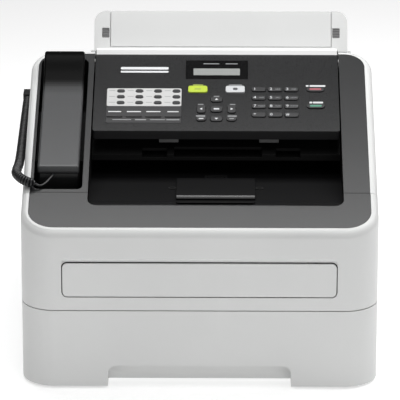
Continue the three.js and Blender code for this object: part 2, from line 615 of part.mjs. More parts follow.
// ---- the frame of the document feeder, under the control panel ----
function upperHousing() {
  const under = (y) => slopeZ(y) - PANEL_LIP - FEED_GAP;
  const rear = CREST_Y - 2;
  const wall = HOUSING_WALL;
  const shoulder = LEDGE_Y + 20; // where the ledge's ramp begins
  const rampTop = LEDGE_Y + 48;
  const shell = along([
    [LEDGE_Y, HOUSING_LOW], [rear, HOUSING_LOW], [rear, under(rear)], [rampTop, under(rampTop)],
    [shoulder, LEDGE_Z + 7], [LEDGE_Y, LEDGE_Z],
  ], RECESS_LEFT + 0.4, RECESS_RIGHT - 0.4);
  const hollow = along([
    [LEDGE_Y + wall, HOUSING_LOW + wall], [rear - wall, HOUSING_LOW + wall],
    [rear - wall, under(rear) - wall], [rampTop + 1, under(rampTop) - wall],
    [shoulder + 1, LEDGE_Z + 7 - wall], [LEDGE_Y + wall, LEDGE_Z - wall],
  ], RECESS_LEFT + 3, RECESS_RIGHT - 3);
  const vent = block(RECESS_LEFT + 10, RECESS_RIGHT - 10, rear - 6, CREST_Y,
    HOUSING_LOW + 5, HOUSING_LOW + 30);
  const middle = block(PANEL_X + SHELF_LEFT, PANEL_X + SHELF_RIGHT, LEDGE_Y - 1, LEDGE_Y + 12,
    LEDGE_Z - 3, TALL);
  const bay = block(PANEL_X - FEED_SHAFT_HALF - 1, PANEL_X + FEED_SHAFT_HALF + 1,
    FEED_ROLLER_Y - FEED_ROLLER_RADIUS - 1, FEED_ROLLER_Y + FEED_ROLLER_RADIUS + 1,
    FEED_ROLLER_Z - FEED_ROLLER_RADIUS - 1, TALL);
  let cut = hollow.add(vent).add(middle).add(bay);
    for (const x of [SHELF_LEFT - 20.6, SHELF_RIGHT + 27.7]) {
    cut = cut.add(block(PANEL_X + x - 13, PANEL_X + x + 13, LEDGE_Y - 1, LEDGE_Y + 10,
      LEDGE_Z - 3.5, TALL));
  }
  const underSteps = block(PANEL_X - 82, PANEL_X + 94, LEDGE_Y + 1, LEDGE_Y + 14,
    HOUSING_LOW, LEDGE_Z - 4);
  return shell.subtract(cut).add(underSteps);
}

function rollerOnShaft(radius, half, shaftRadius, shaftHalf, x, y, z, bands) {
  let roller = rod(shaftRadius, x - shaftHalf, x + shaftHalf, y, z, 10);
  for (const offset of bands) {
    roller = roller.add(rod(radius, x + offset - half, x + offset + half, y, z, 18));
  }
  return roller;
}

// ---- control panel ----
// Panel coordinates: x as the object's, w up the slope from the panel's front edge, n outwards.
// Pieces are made flat in these coordinates; a turned group lays them on the slope.
const panelPlace = new THREE.Group();
panelPlace.position.set(0, PANEL_FRONT_Y, slopeZ(PANEL_FRONT_Y));
panelPlace.rotation.x = SLOPE;

const plate = (shape, n0, n1, curveSegments = 2) => upright(shape, n0, n1, curveSegments);

function rectAt(x, w, wide, high, radius) {
  return roundedShape(x - wide / 2, x + wide / 2, w - high / 2, w + high / 2, radius);
}

// Every key: its middle, its size and its corner radius.
function keyList() {
  const keys = [];
  const key = (name, x, w, wide, high, radius) => {
    keys.push({ name: "key_" + name, x: PANEL_X + x, w, wide, high, radius });
  };
  const digits = ["1", "2", "3", "4", "5", "6", "7", "8", "9", "star", "0", "hash"];
  digits.forEach((name, i) => {
    key(name, DIGIT_X + (i % 3) * DIGIT_PITCH, DIGIT_W - Math.floor(i / 3) * DIGIT_ROW,
      DIGIT_WIDE, DIGIT_HIGH, 2);
  });
  key("stop", ACTION_X, STOP_W, ACTION_WIDE, ACTION_HIGH, ACTION_HIGH / 2 - 0.15);
  key("start", ACTION_X, START_W, ACTION_WIDE, ACTION_HIGH, ACTION_HIGH / 2 - 0.15);
  key("fax", FAX_X, MODE_W, MODE_WIDE, MODE_HIGH, 2.5);
  key("copy", COPY_X, MODE_W, MODE_WIDE, MODE_HIGH, 2.5);
  key("up", PAD_X, PAD_W + PAD_UP, 12, 8, 2.5);
  key("down", PAD_X, PAD_W - PAD_UP, 12, 8, 2.5);
  key("left", PAD_X - PAD_SIDE, PAD_W, 8.5, 13, 2.5);
  key("right", PAD_X + PAD_SIDE, PAD_W, 8.5, 13, 2.5);
  key("ok", PAD_X, PAD_W, 12, 10, 3);
  key("clear", PAD_X - PAD_SIDE, PAD_W - PAD_UP, 10, 7, 3);
  key("menu", PAD_X + PAD_SIDE, PAD_W - PAD_UP, 10, 7, 3);
  return keys;
}

function matShape(grow) {
  const low = MAT_LOW - grow;
  const high = CARD_W + CARD_HIGH / 2 + grow;
  const half = CARD_WIDE / 2 + grow;
  return roundedShape(PANEL_X + CARD_X - half, PANEL_X + CARD_X + half, low, high, 2 + grow);
}

function controlPanel() {
  const body = plate(roundedShape(PANEL_LEFT, PANEL_RIGHT, 0, PANEL_LENGTH, 3, 1),
    -PANEL_LIP, 0);
  const hollow = plate(roundedShape(PANEL_LEFT + 3, PANEL_RIGHT - 3, 3,
    PANEL_LENGTH - 3, 1), -PANEL_LIP - 1, -PANEL_SKIN);
  const back = PANEL_LENGTH;
  const ridge = along([
    [back - 2, -PANEL_LIP + 1], [back + PANEL_RIDGE_DEPTH - 2, -PANEL_LIP + 1],
    [back + PANEL_RIDGE_DEPTH, -PANEL_LIP + 4], [back + PANEL_RIDGE_DEPTH, -0.5],
    [back + 5.5, PANEL_RIDGE], [back + 2.5, PANEL_RIDGE], [back - 1, -0.5],
  ], PANEL_LEFT, PANEL_RIGHT);
  let panel = body.subtract(hollow).add(ridge);
  for (const k of keyList()) {
    const hole = rectAt(k.x, k.w, k.wide + 2 * KEY_GAP, k.high + 2 * KEY_GAP, k.radius + KEY_GAP);
    panel = panel.subtract(plate(hole, -PANEL_LIP, 1));
  }
  const window = rectAt(PANEL_X + LCD_X, LCD_W, LCD_WIDE + 2 * FIT, LCD_HIGH + 2 * FIT, 1 + FIT);
  return panel.subtract(plate(window, -LCD_THICK - FIT, 1))
    .subtract(plate(matShape(FIT), -MAT_THICK - FIT, 1));
}

function keySolid(k) {
  const cap = plate(rectAt(k.x, k.w, k.wide, k.high, k.radius), -KEY_DEPTH, KEY_PROUD);
  const collar = rectAt(k.x, k.w, k.wide + 2 * KEY_FLANGE, k.high + 2 * KEY_FLANGE, k.radius);
  return cap.add(plate(collar, -KEY_DEPTH, -PANEL_SKIN - FIT, 2));
}

function lcdWindow() {
  return plate(rectAt(PANEL_X + LCD_X, LCD_W, LCD_WIDE, LCD_HIGH, 1), -LCD_THICK, FIT);
}

function oneTouchMat() {
  let mat = plate(matShape(0), -MAT_THICK, 0.2);
  for (let column = 0; column < 4; column++) {
    for (let row = 0; row < 3; row++) {
      const x = PANEL_X + CARD_X + (column - 1.5) * OVAL_PITCH + 4.7;
      const w = CARD_W + 11 - row * OVAL_ROW;
      mat = mat.add(plate(rectAt(x, w, 8, 5, 2.4), -1, KEY_PROUD));
    }
    const x = PANEL_X + CARD_X + (column - 1.5) * BAR_PITCH;
    mat = mat.add(plate(rectAt(x, BAR_W, BAR_WIDE, 5, 1.5), -1, KEY_PROUD));
  }
  return mat;
}

// ---- document support ----
// Its own coordinates: w up the leaning plate from the hinge, n towards the front.
const supportPlace = new THREE.Group();
supportPlace.position.set(0, SUPPORT_Y, SUPPORT_Z);
supportPlace.rotation.x = Math.PI / 2 - SUPPORT_LEAN;

function documentSupport() {
  const left = SUPPORT_X - SUPPORT_WIDTH / 2;
  const right = SUPPORT_X + SUPPORT_WIDTH / 2;
  const board = plate(roundedShape(left, right, -SUPPORT_TAIL, SUPPORT_LENGTH - SUPPORT_TAIL,
    1, 13), -SUPPORT_THICK / 2, SUPPORT_THICK / 2, 5);
  const slide = plate(roundedShape(SUPPORT_X - EXTENSION_WIDTH / 2 - 0.8,
    SUPPORT_X + EXTENSION_WIDTH / 2 + 0.8, -SUPPORT_TAIL + 5, SUPPORT_LENGTH, 0.5),
  SUPPORT_THICK / 2 - EXTENSION_THICK - FIT, SUPPORT_THICK);
  let support = board.subtract(slide);
  for (const side of [-1, 1]) {
    const x = SUPPORT_X + side * (EXTENSION_WIDTH / 2 + 5.5); // a finger notch
    support = support.subtract(plate(rectAt(x, 15, 8, 11, 1), SUPPORT_THICK / 2 - 1.5, 5));
  }
  return support;
}

function supportExtension() {
  return plate(roundedShape(SUPPORT_X - EXTENSION_WIDTH / 2, SUPPORT_X + EXTENSION_WIDTH / 2,
    -SUPPORT_TAIL + 5.5, SUPPORT_LENGTH - SUPPORT_TAIL, 0.5, 2),
  SUPPORT_THICK / 2 - EXTENSION_THICK, SUPPORT_THICK / 2);
}

// ---- output flap ----
function outputFlap() {
  const lie = (y, up) => [y, floorZ(y) + 0.5 + up];
  const back = FLAP_HINGE_Y + FLAP_LENGTH;
  const leaf = along([lie(FLAP_HINGE_Y, 0), lie(back, 0), lie(back, FLAP_THICK),
    lie(FLAP_HINGE_Y, FLAP_THICK)], PANEL_X - FLAP_WIDTH / 2, PANEL_X + FLAP_WIDTH / 2);
  const barrel = rod(2, PANEL_X - FLAP_WIDTH / 2, PANEL_X + FLAP_WIDTH / 2,
    FLAP_HINGE_Y, floorZ(FLAP_HINGE_Y) + 2.6, 12);
  const end = back + FLAP_TAB;
  const tab = along([lie(back - 1, 0), lie(end, 0.4), lie(end, 2), lie(back - 1, FLAP_THICK)],
    PANEL_X - 12, PANEL_X + 12);
  let flap = leaf.add(barrel).add(tab);
  for (let i = 0; i < FLAP_RIBS; i++) {
    const y = back + 1 + i * 2.1;
    flap = flap.add(along([lie(y, 1.2), lie(y + 1, 1.2), lie(y + 1, 3), lie(y, 3)],
      PANEL_X - 10, PANEL_X + 10));
  }
  return flap;
}

// ---- paper tray and what rides in it ----
function paperTray() {
  const zone = block(-HALF, HALF, FRONT, TRAY_WRAP_Y - FIT, 0, TRAY_TOP);
  const face = outer.subtract(envelope(FRONT_WALL)).intersect(zone);
  const notch = (grow) => frontal(roundedShape(-NOTCH_HALF - grow, NOTCH_HALF + grow, -20,
    NOTCH_HEIGHT + grow, NOTCH_RADIUS + grow), FRONT - 1, FRONT + NOTCH_DEPTH + grow);
  const alcove = notch(TUB_WALL).subtract(block(-HALF, HALF, FRONT - 2, FRONT + 1.5, -30, 60))
    .intersect(block(-HALF, HALF, FRONT, 0, FOOT_HEIGHT, 60));
  const boxOuter = block(-TRAY_HALF, TRAY_HALF, FRONT + NOTCH_DEPTH - 2,
    TRAY_REAR_Y, TRAY_FLOOR - TUB_WALL, TRAY_WALL_TOP);
  const boxInner = block(-TRAY_HALF + WALL, TRAY_HALF - WALL, FRONT + NOTCH_DEPTH + 3,
    TRAY_REAR_Y - WALL, TRAY_FLOOR, TALL);
  const bridge = block(-TRAY_HALF, TRAY_HALF, FRONT + 2, FRONT + NOTCH_DEPTH,
    TRAY_WALL_TOP - 6, TRAY_WALL_TOP - 3);
  return face.subtract(notch(0)).add(alcove).add(boxOuter).add(bridge)
    .subtract(boxInner).subtract(notch(0));
}

function pressurePlate() {
  const low = TRAY_FLOOR + 5;
  const sheet = block(-PLATE_HALF, PLATE_HALF, PLATE_FRONT, PLATE_REAR, low, low + PLATE_THICK);
  const lip = block(-PLATE_HALF, PLATE_HALF, PLATE_FRONT, PLATE_FRONT + PLATE_THICK,
    TRAY_FLOOR + 1.5, low + 1);
  const hinge = rod(2, -PLATE_HALF, PLATE_HALF, PLATE_REAR, low + PLATE_THICK / 2, 12);
  // side notches that let the guides come in to narrow paper
  const inner = GUIDE_X - GUIDE_TRAVEL - 4;
  const front = GUIDE_FRONT_Y - 4;
  const rear = GUIDE_REAR_Y + 4;
  const room = block(inner, PLATE_HALF + 1, front, rear, 0, TRAY_WALL_TOP)
    .add(block(-PLATE_HALF - 1, -inner, front, rear, 0, TRAY_WALL_TOP));
  return sheet.add(lip).add(hinge).subtract(room);
}

// A guide is drawn for the right side; the left one is its mirror image.
function paperGuide(side) {
  const middle = (GUIDE_FRONT_Y + GUIDE_REAR_Y) / 2;
  const low = TRAY_FLOOR + 0.5;
  const part = (x0, x1, y0, y1, z0, z1) => (side > 0
    ? block(GUIDE_X + x0, GUIDE_X + x1, y0, y1, z0, z1)
    : block(-GUIDE_X - x1, -GUIDE_X - x0, y0, y1, z0, z1));
  const wall = part(0, GUIDE_WALL, GUIDE_FRONT_Y, GUIDE_REAR_Y, low, TRAY_WALL_TOP - 6);
  const base = part(1, 22, GUIDE_FRONT_Y + 20, GUIDE_REAR_Y - 20, low, low + 2.5);
  const brace = part(2, 14, middle - 2, middle + 2, low + 1, low + 25);
  return wall.add(base).add(brace);
}

// ---- chassis and what it carries ----
function baseFrame() {
  let frame = block(-FRAME_HALF + 2, FRAME_HALF - 2, FRAME_FRONT, FRAME_REAR,
    DECK_Z, DECK_Z + DECK_THICK);
  for (const side of [-1, 1]) {
    const plateX = side < 0 ? -FRAME_HALF : FRAME_HALF - FRAME_PLATE;
    const flangeX = side < 0 ? -FRAME_HALF : TRAY_HALF + 2;
    const flange = FRAME_HALF - TRAY_HALF - 2;
    frame = frame
      .add(block(plateX, plateX + FRAME_PLATE, FRAME_FRONT, FRAME_REAR, FOOT_HEIGHT, FRAME_TOP))
      .add(block(flangeX, flangeX + flange, FRAME_FRONT, FRAME_REAR,
        FOOT_HEIGHT, FOOT_HEIGHT + DECK_THICK));
  }
  const crossY = TRAY_REAR_Y + 8;
  const cross = block(-FRAME_HALF, FRAME_HALF, crossY, crossY + 3.5, FOOT_HEIGHT, DECK_Z + 2);
  const fuserWindow = block(-FUSER_HALF - 4, FUSER_HALF + 4, FUSER_Y, FRAME_REAR + 1,
    DECK_Z - 1, DECK_Z + DECK_THICK + 2);
  const paperSlot = block(-EXIT_HALF - 3, EXIT_HALF + 3, COVER_Y + 8, COVER_Y + 24,
    DECK_Z - 1, DECK_Z + DECK_THICK + 2);
  return frame.add(cross).subtract(fuserWindow).subtract(paperSlot);
}

function drumUnit() {
  const low = DECK_Z + 14;
  const floorTop = low + 3;
  const top = DRUM_Z + 14;
  const front = DRUM_Y - DRUM_REACH;
  const rear = DRUM_Y + DRUM_REACH;
  const cradle = along([
    [front, low], [rear, low], [rear, top], [rear - 15, top], [rear - 15, floorTop], [front, floorTop],
  ], -DRUM_HALF, DRUM_HALF);
  const drum = rod(DRUM_RADIUS, -DRUM_HALF + 6, DRUM_HALF - 6, DRUM_Y + 17, DRUM_Z, 20);
  const ends = block(-DRUM_HALF, -DRUM_HALF + 8, front, rear, low, top)
    .add(block(DRUM_HALF - 8, DRUM_HALF, front, rear, low, top));
  return cradle.add(drum).add(ends);
}

function tonerCartridge() {
  const low = DECK_Z + 18;
  const front = DRUM_Y - DRUM_REACH + 3;
  const rear = DRUM_Y + 2;
  const body = along([
    [front, low], [rear, low], [rear, DRUM_Z + 22], [DRUM_Y - 20, DRUM_Z + 34], [front, DRUM_Z + 26],
  ], -TONER_HALF, TONER_HALF);
  const grip = block(-30, 30, front - 14, front + 1, DRUM_Z + 8, DRUM_Z + 12);
  return body.add(grip);
}

function fuserUnit() {
  const y = FUSER_Y;
  const z = FUSER_Z;
  const body = along([
    [y, z], [y + 42, z], [y + 46, z + 36], [y + 34, z + 56], [y + 4, z + 56],
  ], -FUSER_HALF, FUSER_HALF);
  const mouth = block(-EXIT_HALF - 1, EXIT_HALF + 1, y - 2, y + 3.5, z + 12, z + 28);
  return body.subtract(mouth).add(rod(6, -EXIT_HALF - 1, EXIT_HALF + 1, y + 9, z + 20, 16));
}

function pickupRoller() {
  return rollerOnShaft(PICKUP_RADIUS, 20, 3, 70, 0, COVER_Y - PICKUP_AHEAD,
    TRAY_WALL_TOP + PICKUP_RADIUS + 2, [0]);
}

function exitRoller() {
  const z = floorZ(RECESS_BACK_Y) + 1;
  return rollerOnShaft(EXIT_ROLLER_RADIUS, 9, 2.5, 100, PANEL_X, RECESS_BACK_Y + 14, z,
    [-70, -25, 25, 70]);
}

function powerSwitch() {
  const y0 = SWITCH_Y - SWITCH_LONG / 2;
  const y1 = SWITCH_Y + SWITCH_LONG / 2;
  const outline = new THREE.Shape();
  outline.moveTo(HALF - 2.1, y0 + 1.2);
  outline.lineTo(HALF + 1.4, y0 + 1.2);
  outline.lineTo(HALF - 0.2, SWITCH_Y);
  outline.lineTo(HALF + 0.6, y1 - 1.2);
  outline.lineTo(HALF - 2.1, y1 - 1.2);
  return upright(outline, SWITCH_Z - SWITCH_HIGH / 2 + 0.4, SWITCH_Z + SWITCH_HIGH / 2 - 0.4);
}

function foot(side, y) {
  const x = side * (FRAME_HALF - FOOT_RADIUS - 4);
  const geometry = new THREE.CylinderGeometry(FOOT_RADIUS, FOOT_RADIUS - 1, FOOT_HEIGHT - FIT, 20);
  geometry.rotateX(Math.PI / 2);
  geometry.translate(x, y, (FOOT_HEIGHT - FIT) / 2);
  return solid(geometry);
}

// ---- handset and its curly cord ----
const handsetTop = (y) => slopeZ(y) + HANDSET_PROUD;

function handsetOutline() {
  const front = HANDSET_FRONT_Y;
  const wellZ = CRADLE_WELL_Z;
  const rear = CRADLE_REAR_Y - 8;
  const crown = rear - 14; // middle of the ear end's top
  const neck = WELL_REAR_Y + 4; // where the back starts to rise to the ear end
  const s = new THREE.Shape();
  s.moveTo(front, handsetTop(front) - 1.5);
  s.lineTo(front - 1, handsetTop(front) - 8);
  s.lineTo(front + 3, wellZ + 10);
  s.quadraticCurveTo(front + 4, wellZ + 4, front + 9, wellZ + 4);
  s.lineTo(WELL_FRONT_Y - 12, wellZ + 11);
  s.quadraticCurveTo(WELL_FRONT_Y - 5, slopeZ(WELL_FRONT_Y) - 9, WELL_FRONT_Y + 10,
    slopeZ(WELL_FRONT_Y + 10) - 8);
  s.lineTo(WELL_REAR_Y - 6, slopeZ(WELL_REAR_Y - 6) - 8);
  s.quadraticCurveTo(neck, slopeZ(neck) - 8, WELL_REAR_Y + 6, HOOK_TOP_Z + 5);
  s.lineTo(WELL_REAR_Y + 9, HOOK_TOP_Z + 1);
  s.lineTo(rear - 8, HOOK_TOP_Z + 8);
  s.quadraticCurveTo(rear, HOOK_TOP_Z + 12, rear, HOOK_TOP_Z + 22);
  s.lineTo(rear, EAR_TOP - 13);
  s.quadraticCurveTo(rear - 1, EAR_TOP, crown, EAR_TOP);
  s.quadraticCurveTo(crown - 10, EAR_TOP - 1, crown - 22, EAR_TOP - 14);
  s.quadraticCurveTo(crown - 30, handsetTop(neck + 8), neck, handsetTop(neck));
  s.lineTo(front + 1.5, handsetTop(front + 1.5));
  return s;
}

const handset = drawnAlongX(handsetOutline(), HANDSET_X - HANDSET_WIDTH / 2,
  HANDSET_X + HANDSET_WIDTH / 2, 5);

// The inner half of the handset, with the two grilles, is split off under this line.
const innerZone = along([
  [HANDSET_FRONT_Y - 10, CRADLE_WELL_Z - 50], [CREST_Y, CRADLE_WELL_Z - 50],
  [CREST_Y, EAR_TOP - 27], [CRADLE_REAR_Y - 8, EAR_TOP - 29],
  [WELL_REAR_Y, slopeZ(WELL_REAR_Y) - 3], [WELL_FRONT_Y, slopeZ(WELL_FRONT_Y) - 3],
  [HANDSET_FRONT_Y - 10, CRADLE_WELL_Z + 21],
], -HALF, HALF);

// The cord's route: hand-placed points from the jack to the handset.
const CURL_POINTS = [
  [-189.7, 122, 214.6], [-189.7, 100, 213.6], [-189.8, 70, 211], [-189.8, 40, 208.4],
  [-189.8, 10, 205.8], [-189.8, -20, 203.2], [-190.2, -48, 201.2], [-191.2, -68, 202],
  [-191.6, -82, 205.2], [-188.6, -92, 208], [-182.2, -97.6, 208.6], [-174.4, -100.6, 206.6],
  [-167.2, -101.8, 201.4],
];
const LEAD_POINTS = [
  [-166.9, -101.9, 201.1], [-164.8, -102.2, 198.6], [-162, -101.4, 197.8], [-158.6, -98.6, 198.8],
  [-155.6, -94.6, 200.4], [-153.6, -90, 201.6], [-152.8, -86.6, 202],
];

function tube(points, radius, sides, steps) {
  const curve = new THREE.CatmullRomCurve3(points.map((p) => new THREE.Vector3(...p)));
  const section = new THREE.Shape();
  for (let i = 0; i < sides; i++) {
    const a = (i / sides) * 2 * Math.PI;
    const x = radius * Math.cos(a);
    const y = radius * Math.sin(a);
    if (i === 0) section.moveTo(x, y);
    else section.lineTo(x, y);
  }
  return new THREE.ExtrudeGeometry(section, { steps, bevelEnabled: false, extrudePath: curve });
}

// The plug's body stands outside the wall; its tongue goes into the socket.
function cordPlug() {
  const body = block(-HALF - PLUG_STANDOFF, -HALF - FIT, JACK_Y - JACK_HALF - 6, JACK_Y + JACK_HALF,
    JACK_Z - JACK_HALF + 1, JACK_Z + JACK_HALF);
  const tongue = block(-HALF - 1, -HALF + RIM, JACK_Y - JACK_HALF + SEAM, JACK_Y + JACK_HALF - SEAM,
    JACK_Z - JACK_HALF + SEAM + 1, JACK_Z + JACK_HALF - SEAM);
  return body.add(tongue);
}

// ---- materials ----
const white = new THREE.MeshStandardMaterial({ color: 0xd9dad8, roughness: 0.5, metalness: 0 });
const dark = new THREE.MeshStandardMaterial({ color: 0x47484a, roughness: 0.45, metalness: 0 });
const black = new THREE.MeshStandardMaterial({ color: 0x1b1c1d, roughness: 0.55, metalness: 0 });
const grip = new THREE.MeshStandardMaterial({ color: 0x5d5f60, roughness: 0.5, metalness: 0 });
const keyGrey = new THREE.MeshStandardMaterial({ color: 0x2a2b2d, roughness: 0.5, metalness: 0 });
const keyGreen = new THREE.MeshStandardMaterial({ color: 0xb9c93a, roughness: 0.4, metalness: 0 });
const keyLight = new THREE.MeshStandardMaterial({ color: 0xd0d1d2, roughness: 0.4, metalness: 0 });
const glass = new THREE.MeshStandardMaterial({ color: 0x2b2f33, roughness: 0.1, metalness: 0 });
const rubber = new THREE.MeshStandardMaterial({ color: 0x222222, roughness: 0.9, metalness: 0 });
const steel = new THREE.MeshStandardMaterial({ color: 0xa8abae, roughness: 0.35, metalness: 1 });

// ---- assembly ----
const fax = new THREE.Group();

fax.add(panelPlace, supportPlace);

function add(name, shape, material, place = fax) {
  const geometry = shape.isBufferGeometry ? shape : geometryOf(shape);
  const mesh = new THREE.Mesh(geometry, material);
  mesh.name = name;
  place.add(mesh);
}

add("base_frame", baseFrame(), black);
add("left_side_cover", leftCover(), white);
add("right_side_cover", rightCover(), white);
add("rear_cover", rearCover(), white);
add("rear_door", rearDoor(), white);
add("top_cover", topCover(), dark);
add("upper_housing", upperHousing(), black);
add("front_cover", frontCover(), white);
add("front_trim", frontTrim(), dark);
add("manual_feed_door", manualFeedDoor(), white);
add("paper_tray", paperTray(), white);
add("pressure_plate", pressurePlate(), steel);
add("paper_guide_left", paperGuide(-1), black);
add("paper_guide_right", paperGuide(1), black);
add("output_flap", outputFlap(), black);
add("control_panel", controlPanel(), dark, panelPlace);
add("lcd_window", lcdWindow(), glass, panelPlace);
add("one_touch_keymat", oneTouchMat(), keyGrey, panelPlace);
for (const k of keyList()) {
  const colour = k.name === "key_fax" ? keyGreen : k.name === "key_copy" ? keyLight : keyGrey;
  add(k.name, keySolid(k), colour, panelPlace);
}
add("document_support", documentSupport(), white, supportPlace);
add("support_extension", supportExtension(), white, supportPlace);
add("handset_shell", handset.subtract(innerZone), grip);
add("handset_inner", handset.intersect(innerZone.translate([0, 0, -FIT])), black);
add("cord_curl", tube(CURL_POINTS, CORD_COIL / 2, 8, 60), rubber);
add("cord_lead", tube(LEAD_POINTS, CORD_WIRE / 2, 8, 20), rubber);
add("cord_plug", cordPlug(), black);
add("hook_switch", hookSwitch(), black);
add("drum_unit", drumUnit(), black);
add("toner_cartridge", tonerCartridge(), grip);
add("fuser_unit", fuserUnit(), black);
add("pickup_roller", pickupRoller(), rubber);
add("exit_roller", exitRoller(), rubber);
add("document_roller", rollerOnShaft(FEED_ROLLER_RADIUS, FEED_ROLLER_HALF, 2.5, FEED_SHAFT_HALF,
  PANEL_X, FEED_ROLLER_Y, FEED_ROLLER_Z, [0]), rubber);
add("power_switch", powerSwitch(), black);
add("foot_front_left", foot(-1, FRAME_FRONT + 14), rubber);
add("foot_front_right", foot(1, FRAME_FRONT + 14), rubber);
add("foot_rear_left", foot(-1, FRAME_REAR - 16), rubber);
add("foot_rear_right", foot(1, FRAME_REAR - 16), rubber);

export default fax;
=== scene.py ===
# %% [markdown]
# # A desktop fax machine
#
# The machine's engineering model is already finished: every casing, key and roller has its real
# size and place. This lesson gives that model its looks. Each piece keeps its place in the frame,
# and Blender adds what a drawing can't hold: soft edges, grained plastic, printing, a curly cord
# wound turn by turn, and light.

# %% Load the frame
import bpy
import bmesh
import math
from mathutils import Matrix, Vector


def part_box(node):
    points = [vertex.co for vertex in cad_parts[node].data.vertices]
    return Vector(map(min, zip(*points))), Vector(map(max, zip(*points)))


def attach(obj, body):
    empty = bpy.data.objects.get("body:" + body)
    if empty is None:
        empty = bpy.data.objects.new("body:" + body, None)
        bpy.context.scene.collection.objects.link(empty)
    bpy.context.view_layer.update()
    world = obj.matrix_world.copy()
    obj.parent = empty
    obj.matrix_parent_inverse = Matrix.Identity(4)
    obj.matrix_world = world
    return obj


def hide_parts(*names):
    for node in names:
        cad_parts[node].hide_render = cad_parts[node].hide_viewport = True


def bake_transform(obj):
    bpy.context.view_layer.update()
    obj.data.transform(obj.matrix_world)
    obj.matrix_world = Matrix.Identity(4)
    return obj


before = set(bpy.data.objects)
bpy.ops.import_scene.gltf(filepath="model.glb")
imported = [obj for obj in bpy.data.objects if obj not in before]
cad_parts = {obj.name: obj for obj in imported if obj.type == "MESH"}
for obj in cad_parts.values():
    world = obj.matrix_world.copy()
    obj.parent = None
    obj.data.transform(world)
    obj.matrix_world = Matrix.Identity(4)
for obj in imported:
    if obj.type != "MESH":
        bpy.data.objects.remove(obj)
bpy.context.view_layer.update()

# %% [markdown]
# ## The camera
#
# A product picture of an office machine is taken from far away with a long lens, because a short
# lens would make the front look too big. The camera stands 4 m off, 22 degrees above the table
# and a hair to the right of the middle. It aims at the middle of the machine, above the spot on
# the table from which the 22 degrees are counted. A 333 mm lens on a 36 mm sensor fills the
# picture.

# %% Camera
ELEVATION = math.radians(22.0)
AZIMUTH = math.radians(0.49)
DISTANCE = 4.0
LENS = 333.0
TILT = math.radians(1.918)
SIDESTEP = -0.0009


def looking(elevation):
    """The direction of view, the direction to the right and the direction up."""
    towards = Vector((-math.sin(AZIMUTH) * math.cos(elevation),
                      math.cos(AZIMUTH) * math.cos(elevation), -math.sin(elevation)))
    across = Vector((math.cos(AZIMUTH), math.sin(AZIMUTH), 0.0))
    return towards, across, across.cross(towards)


from_table, across, _ = looking(ELEVATION)
towards, _, upwards = looking(ELEVATION - TILT)
camera_data = bpy.data.cameras.new("camera")
camera_data.lens = LENS
camera_data.sensor_width = 36.0
camera_data.clip_end = 50.0
camera = bpy.data.objects.new("camera", camera_data)
bpy.context.scene.collection.objects.link(camera)
camera.matrix_world = Matrix.Translation(
    -from_table * DISTANCE + across * SIDESTEP
) @ Matrix((across, upwards, -towards)).transposed().to_4x4()
bpy.context.scene.camera = camera
print("camera stands at", [round(x, 3) for x in camera.location])

# %% [markdown]
# ## The curly cord
#
# A handset cord is a thin round wire wound into a tight helix, with a short straight lead at each
# end. It could be a tube with a wavy bump, but then the wire would have no length of its own. Here
# it is one line: a helix worked out by a loop, carried along the route that the cord takes over the
# side of the machine, then the lead into the handset. A round section swept along the line makes
# the wire. The spacing of the turns is a choice, not a measurement: nearly touching turns use about
# 2 m of wire, as such cords usually have, and turns twice as far apart would use about half.

# %% The cord's route
MM = 0.001
curl_route = [
    (-189.7, 122, 214.6), (-189.7, 100, 213.6), (-189.8, 70, 211), (-189.8, 40, 208.4),
    (-189.8, 10, 205.8), (-189.8, -20, 203.2), (-190.2, -50, 201.6), (-191.4, -72, 202.2),
    (-191.2, -86, 203.4), (-188.4, -97, 203.8), (-183.2, -104.6, 202.6), (-176.6, -108.8, 201.2),
    (-170, -110.3, 200.4),
]
lead_route = [
    (-169.6, -110.4, 200), (-166.8, -110.6, 198.4), (-163.6, -108.4, 198), (-160, -103.2, 198.6),
    (-156.6, -96.6, 200.2), (-153.9, -90.4, 201.6), (-152.9, -86.8, 202),
]
WIRE = 2.6 * MM
COIL = 10.4 * MM
PITCH = 2.9 * MM
TURN_POINTS = 16


def smooth_route(points, spacing):
    """Evenly spaced points on a smooth curve through the given ones, in metres."""
    p = [Vector(q) * MM for q in points]
    p = [2 * p[0] - p[1]] + p + [2 * p[-1] - p[-2]]
    fine = []
    for i in range(1, len(p) - 2):
        a, b, c, d = p[i - 1:i + 3]
        steps = math.ceil((c - b).length / spacing * 5)
        for k in range(steps):
            t = k / steps
            fine.append(0.5 * (2 * b + (c - a) * t + (2 * a - 5 * b + 4 * c - d) * t * t
                               + (3 * b - a - 3 * c + d) * t ** 3))
    fine.append(p[-2])
    even, gone = [fine[0]], 0.0
    for a, b in zip(fine, fine[1:]):
        gone += (b - a).length
        if gone >= spacing:
            even.append(b)
            gone -= spacing
    return even


def carried_frames(line):
    """At each point of a line, two directions square to it that don't twist along the way."""
    side = (line[1] - line[0]).orthogonal().normalized()
    frames = []
    for i in range(len(line)):
        ahead = (line[min(i + 1, len(line) - 1)] - line[max(i - 1, 0)]).normalized()
        side = (side - ahead * side.dot(ahead)).normalized()
        frames.append((side, ahead.cross(side)))
    return frames


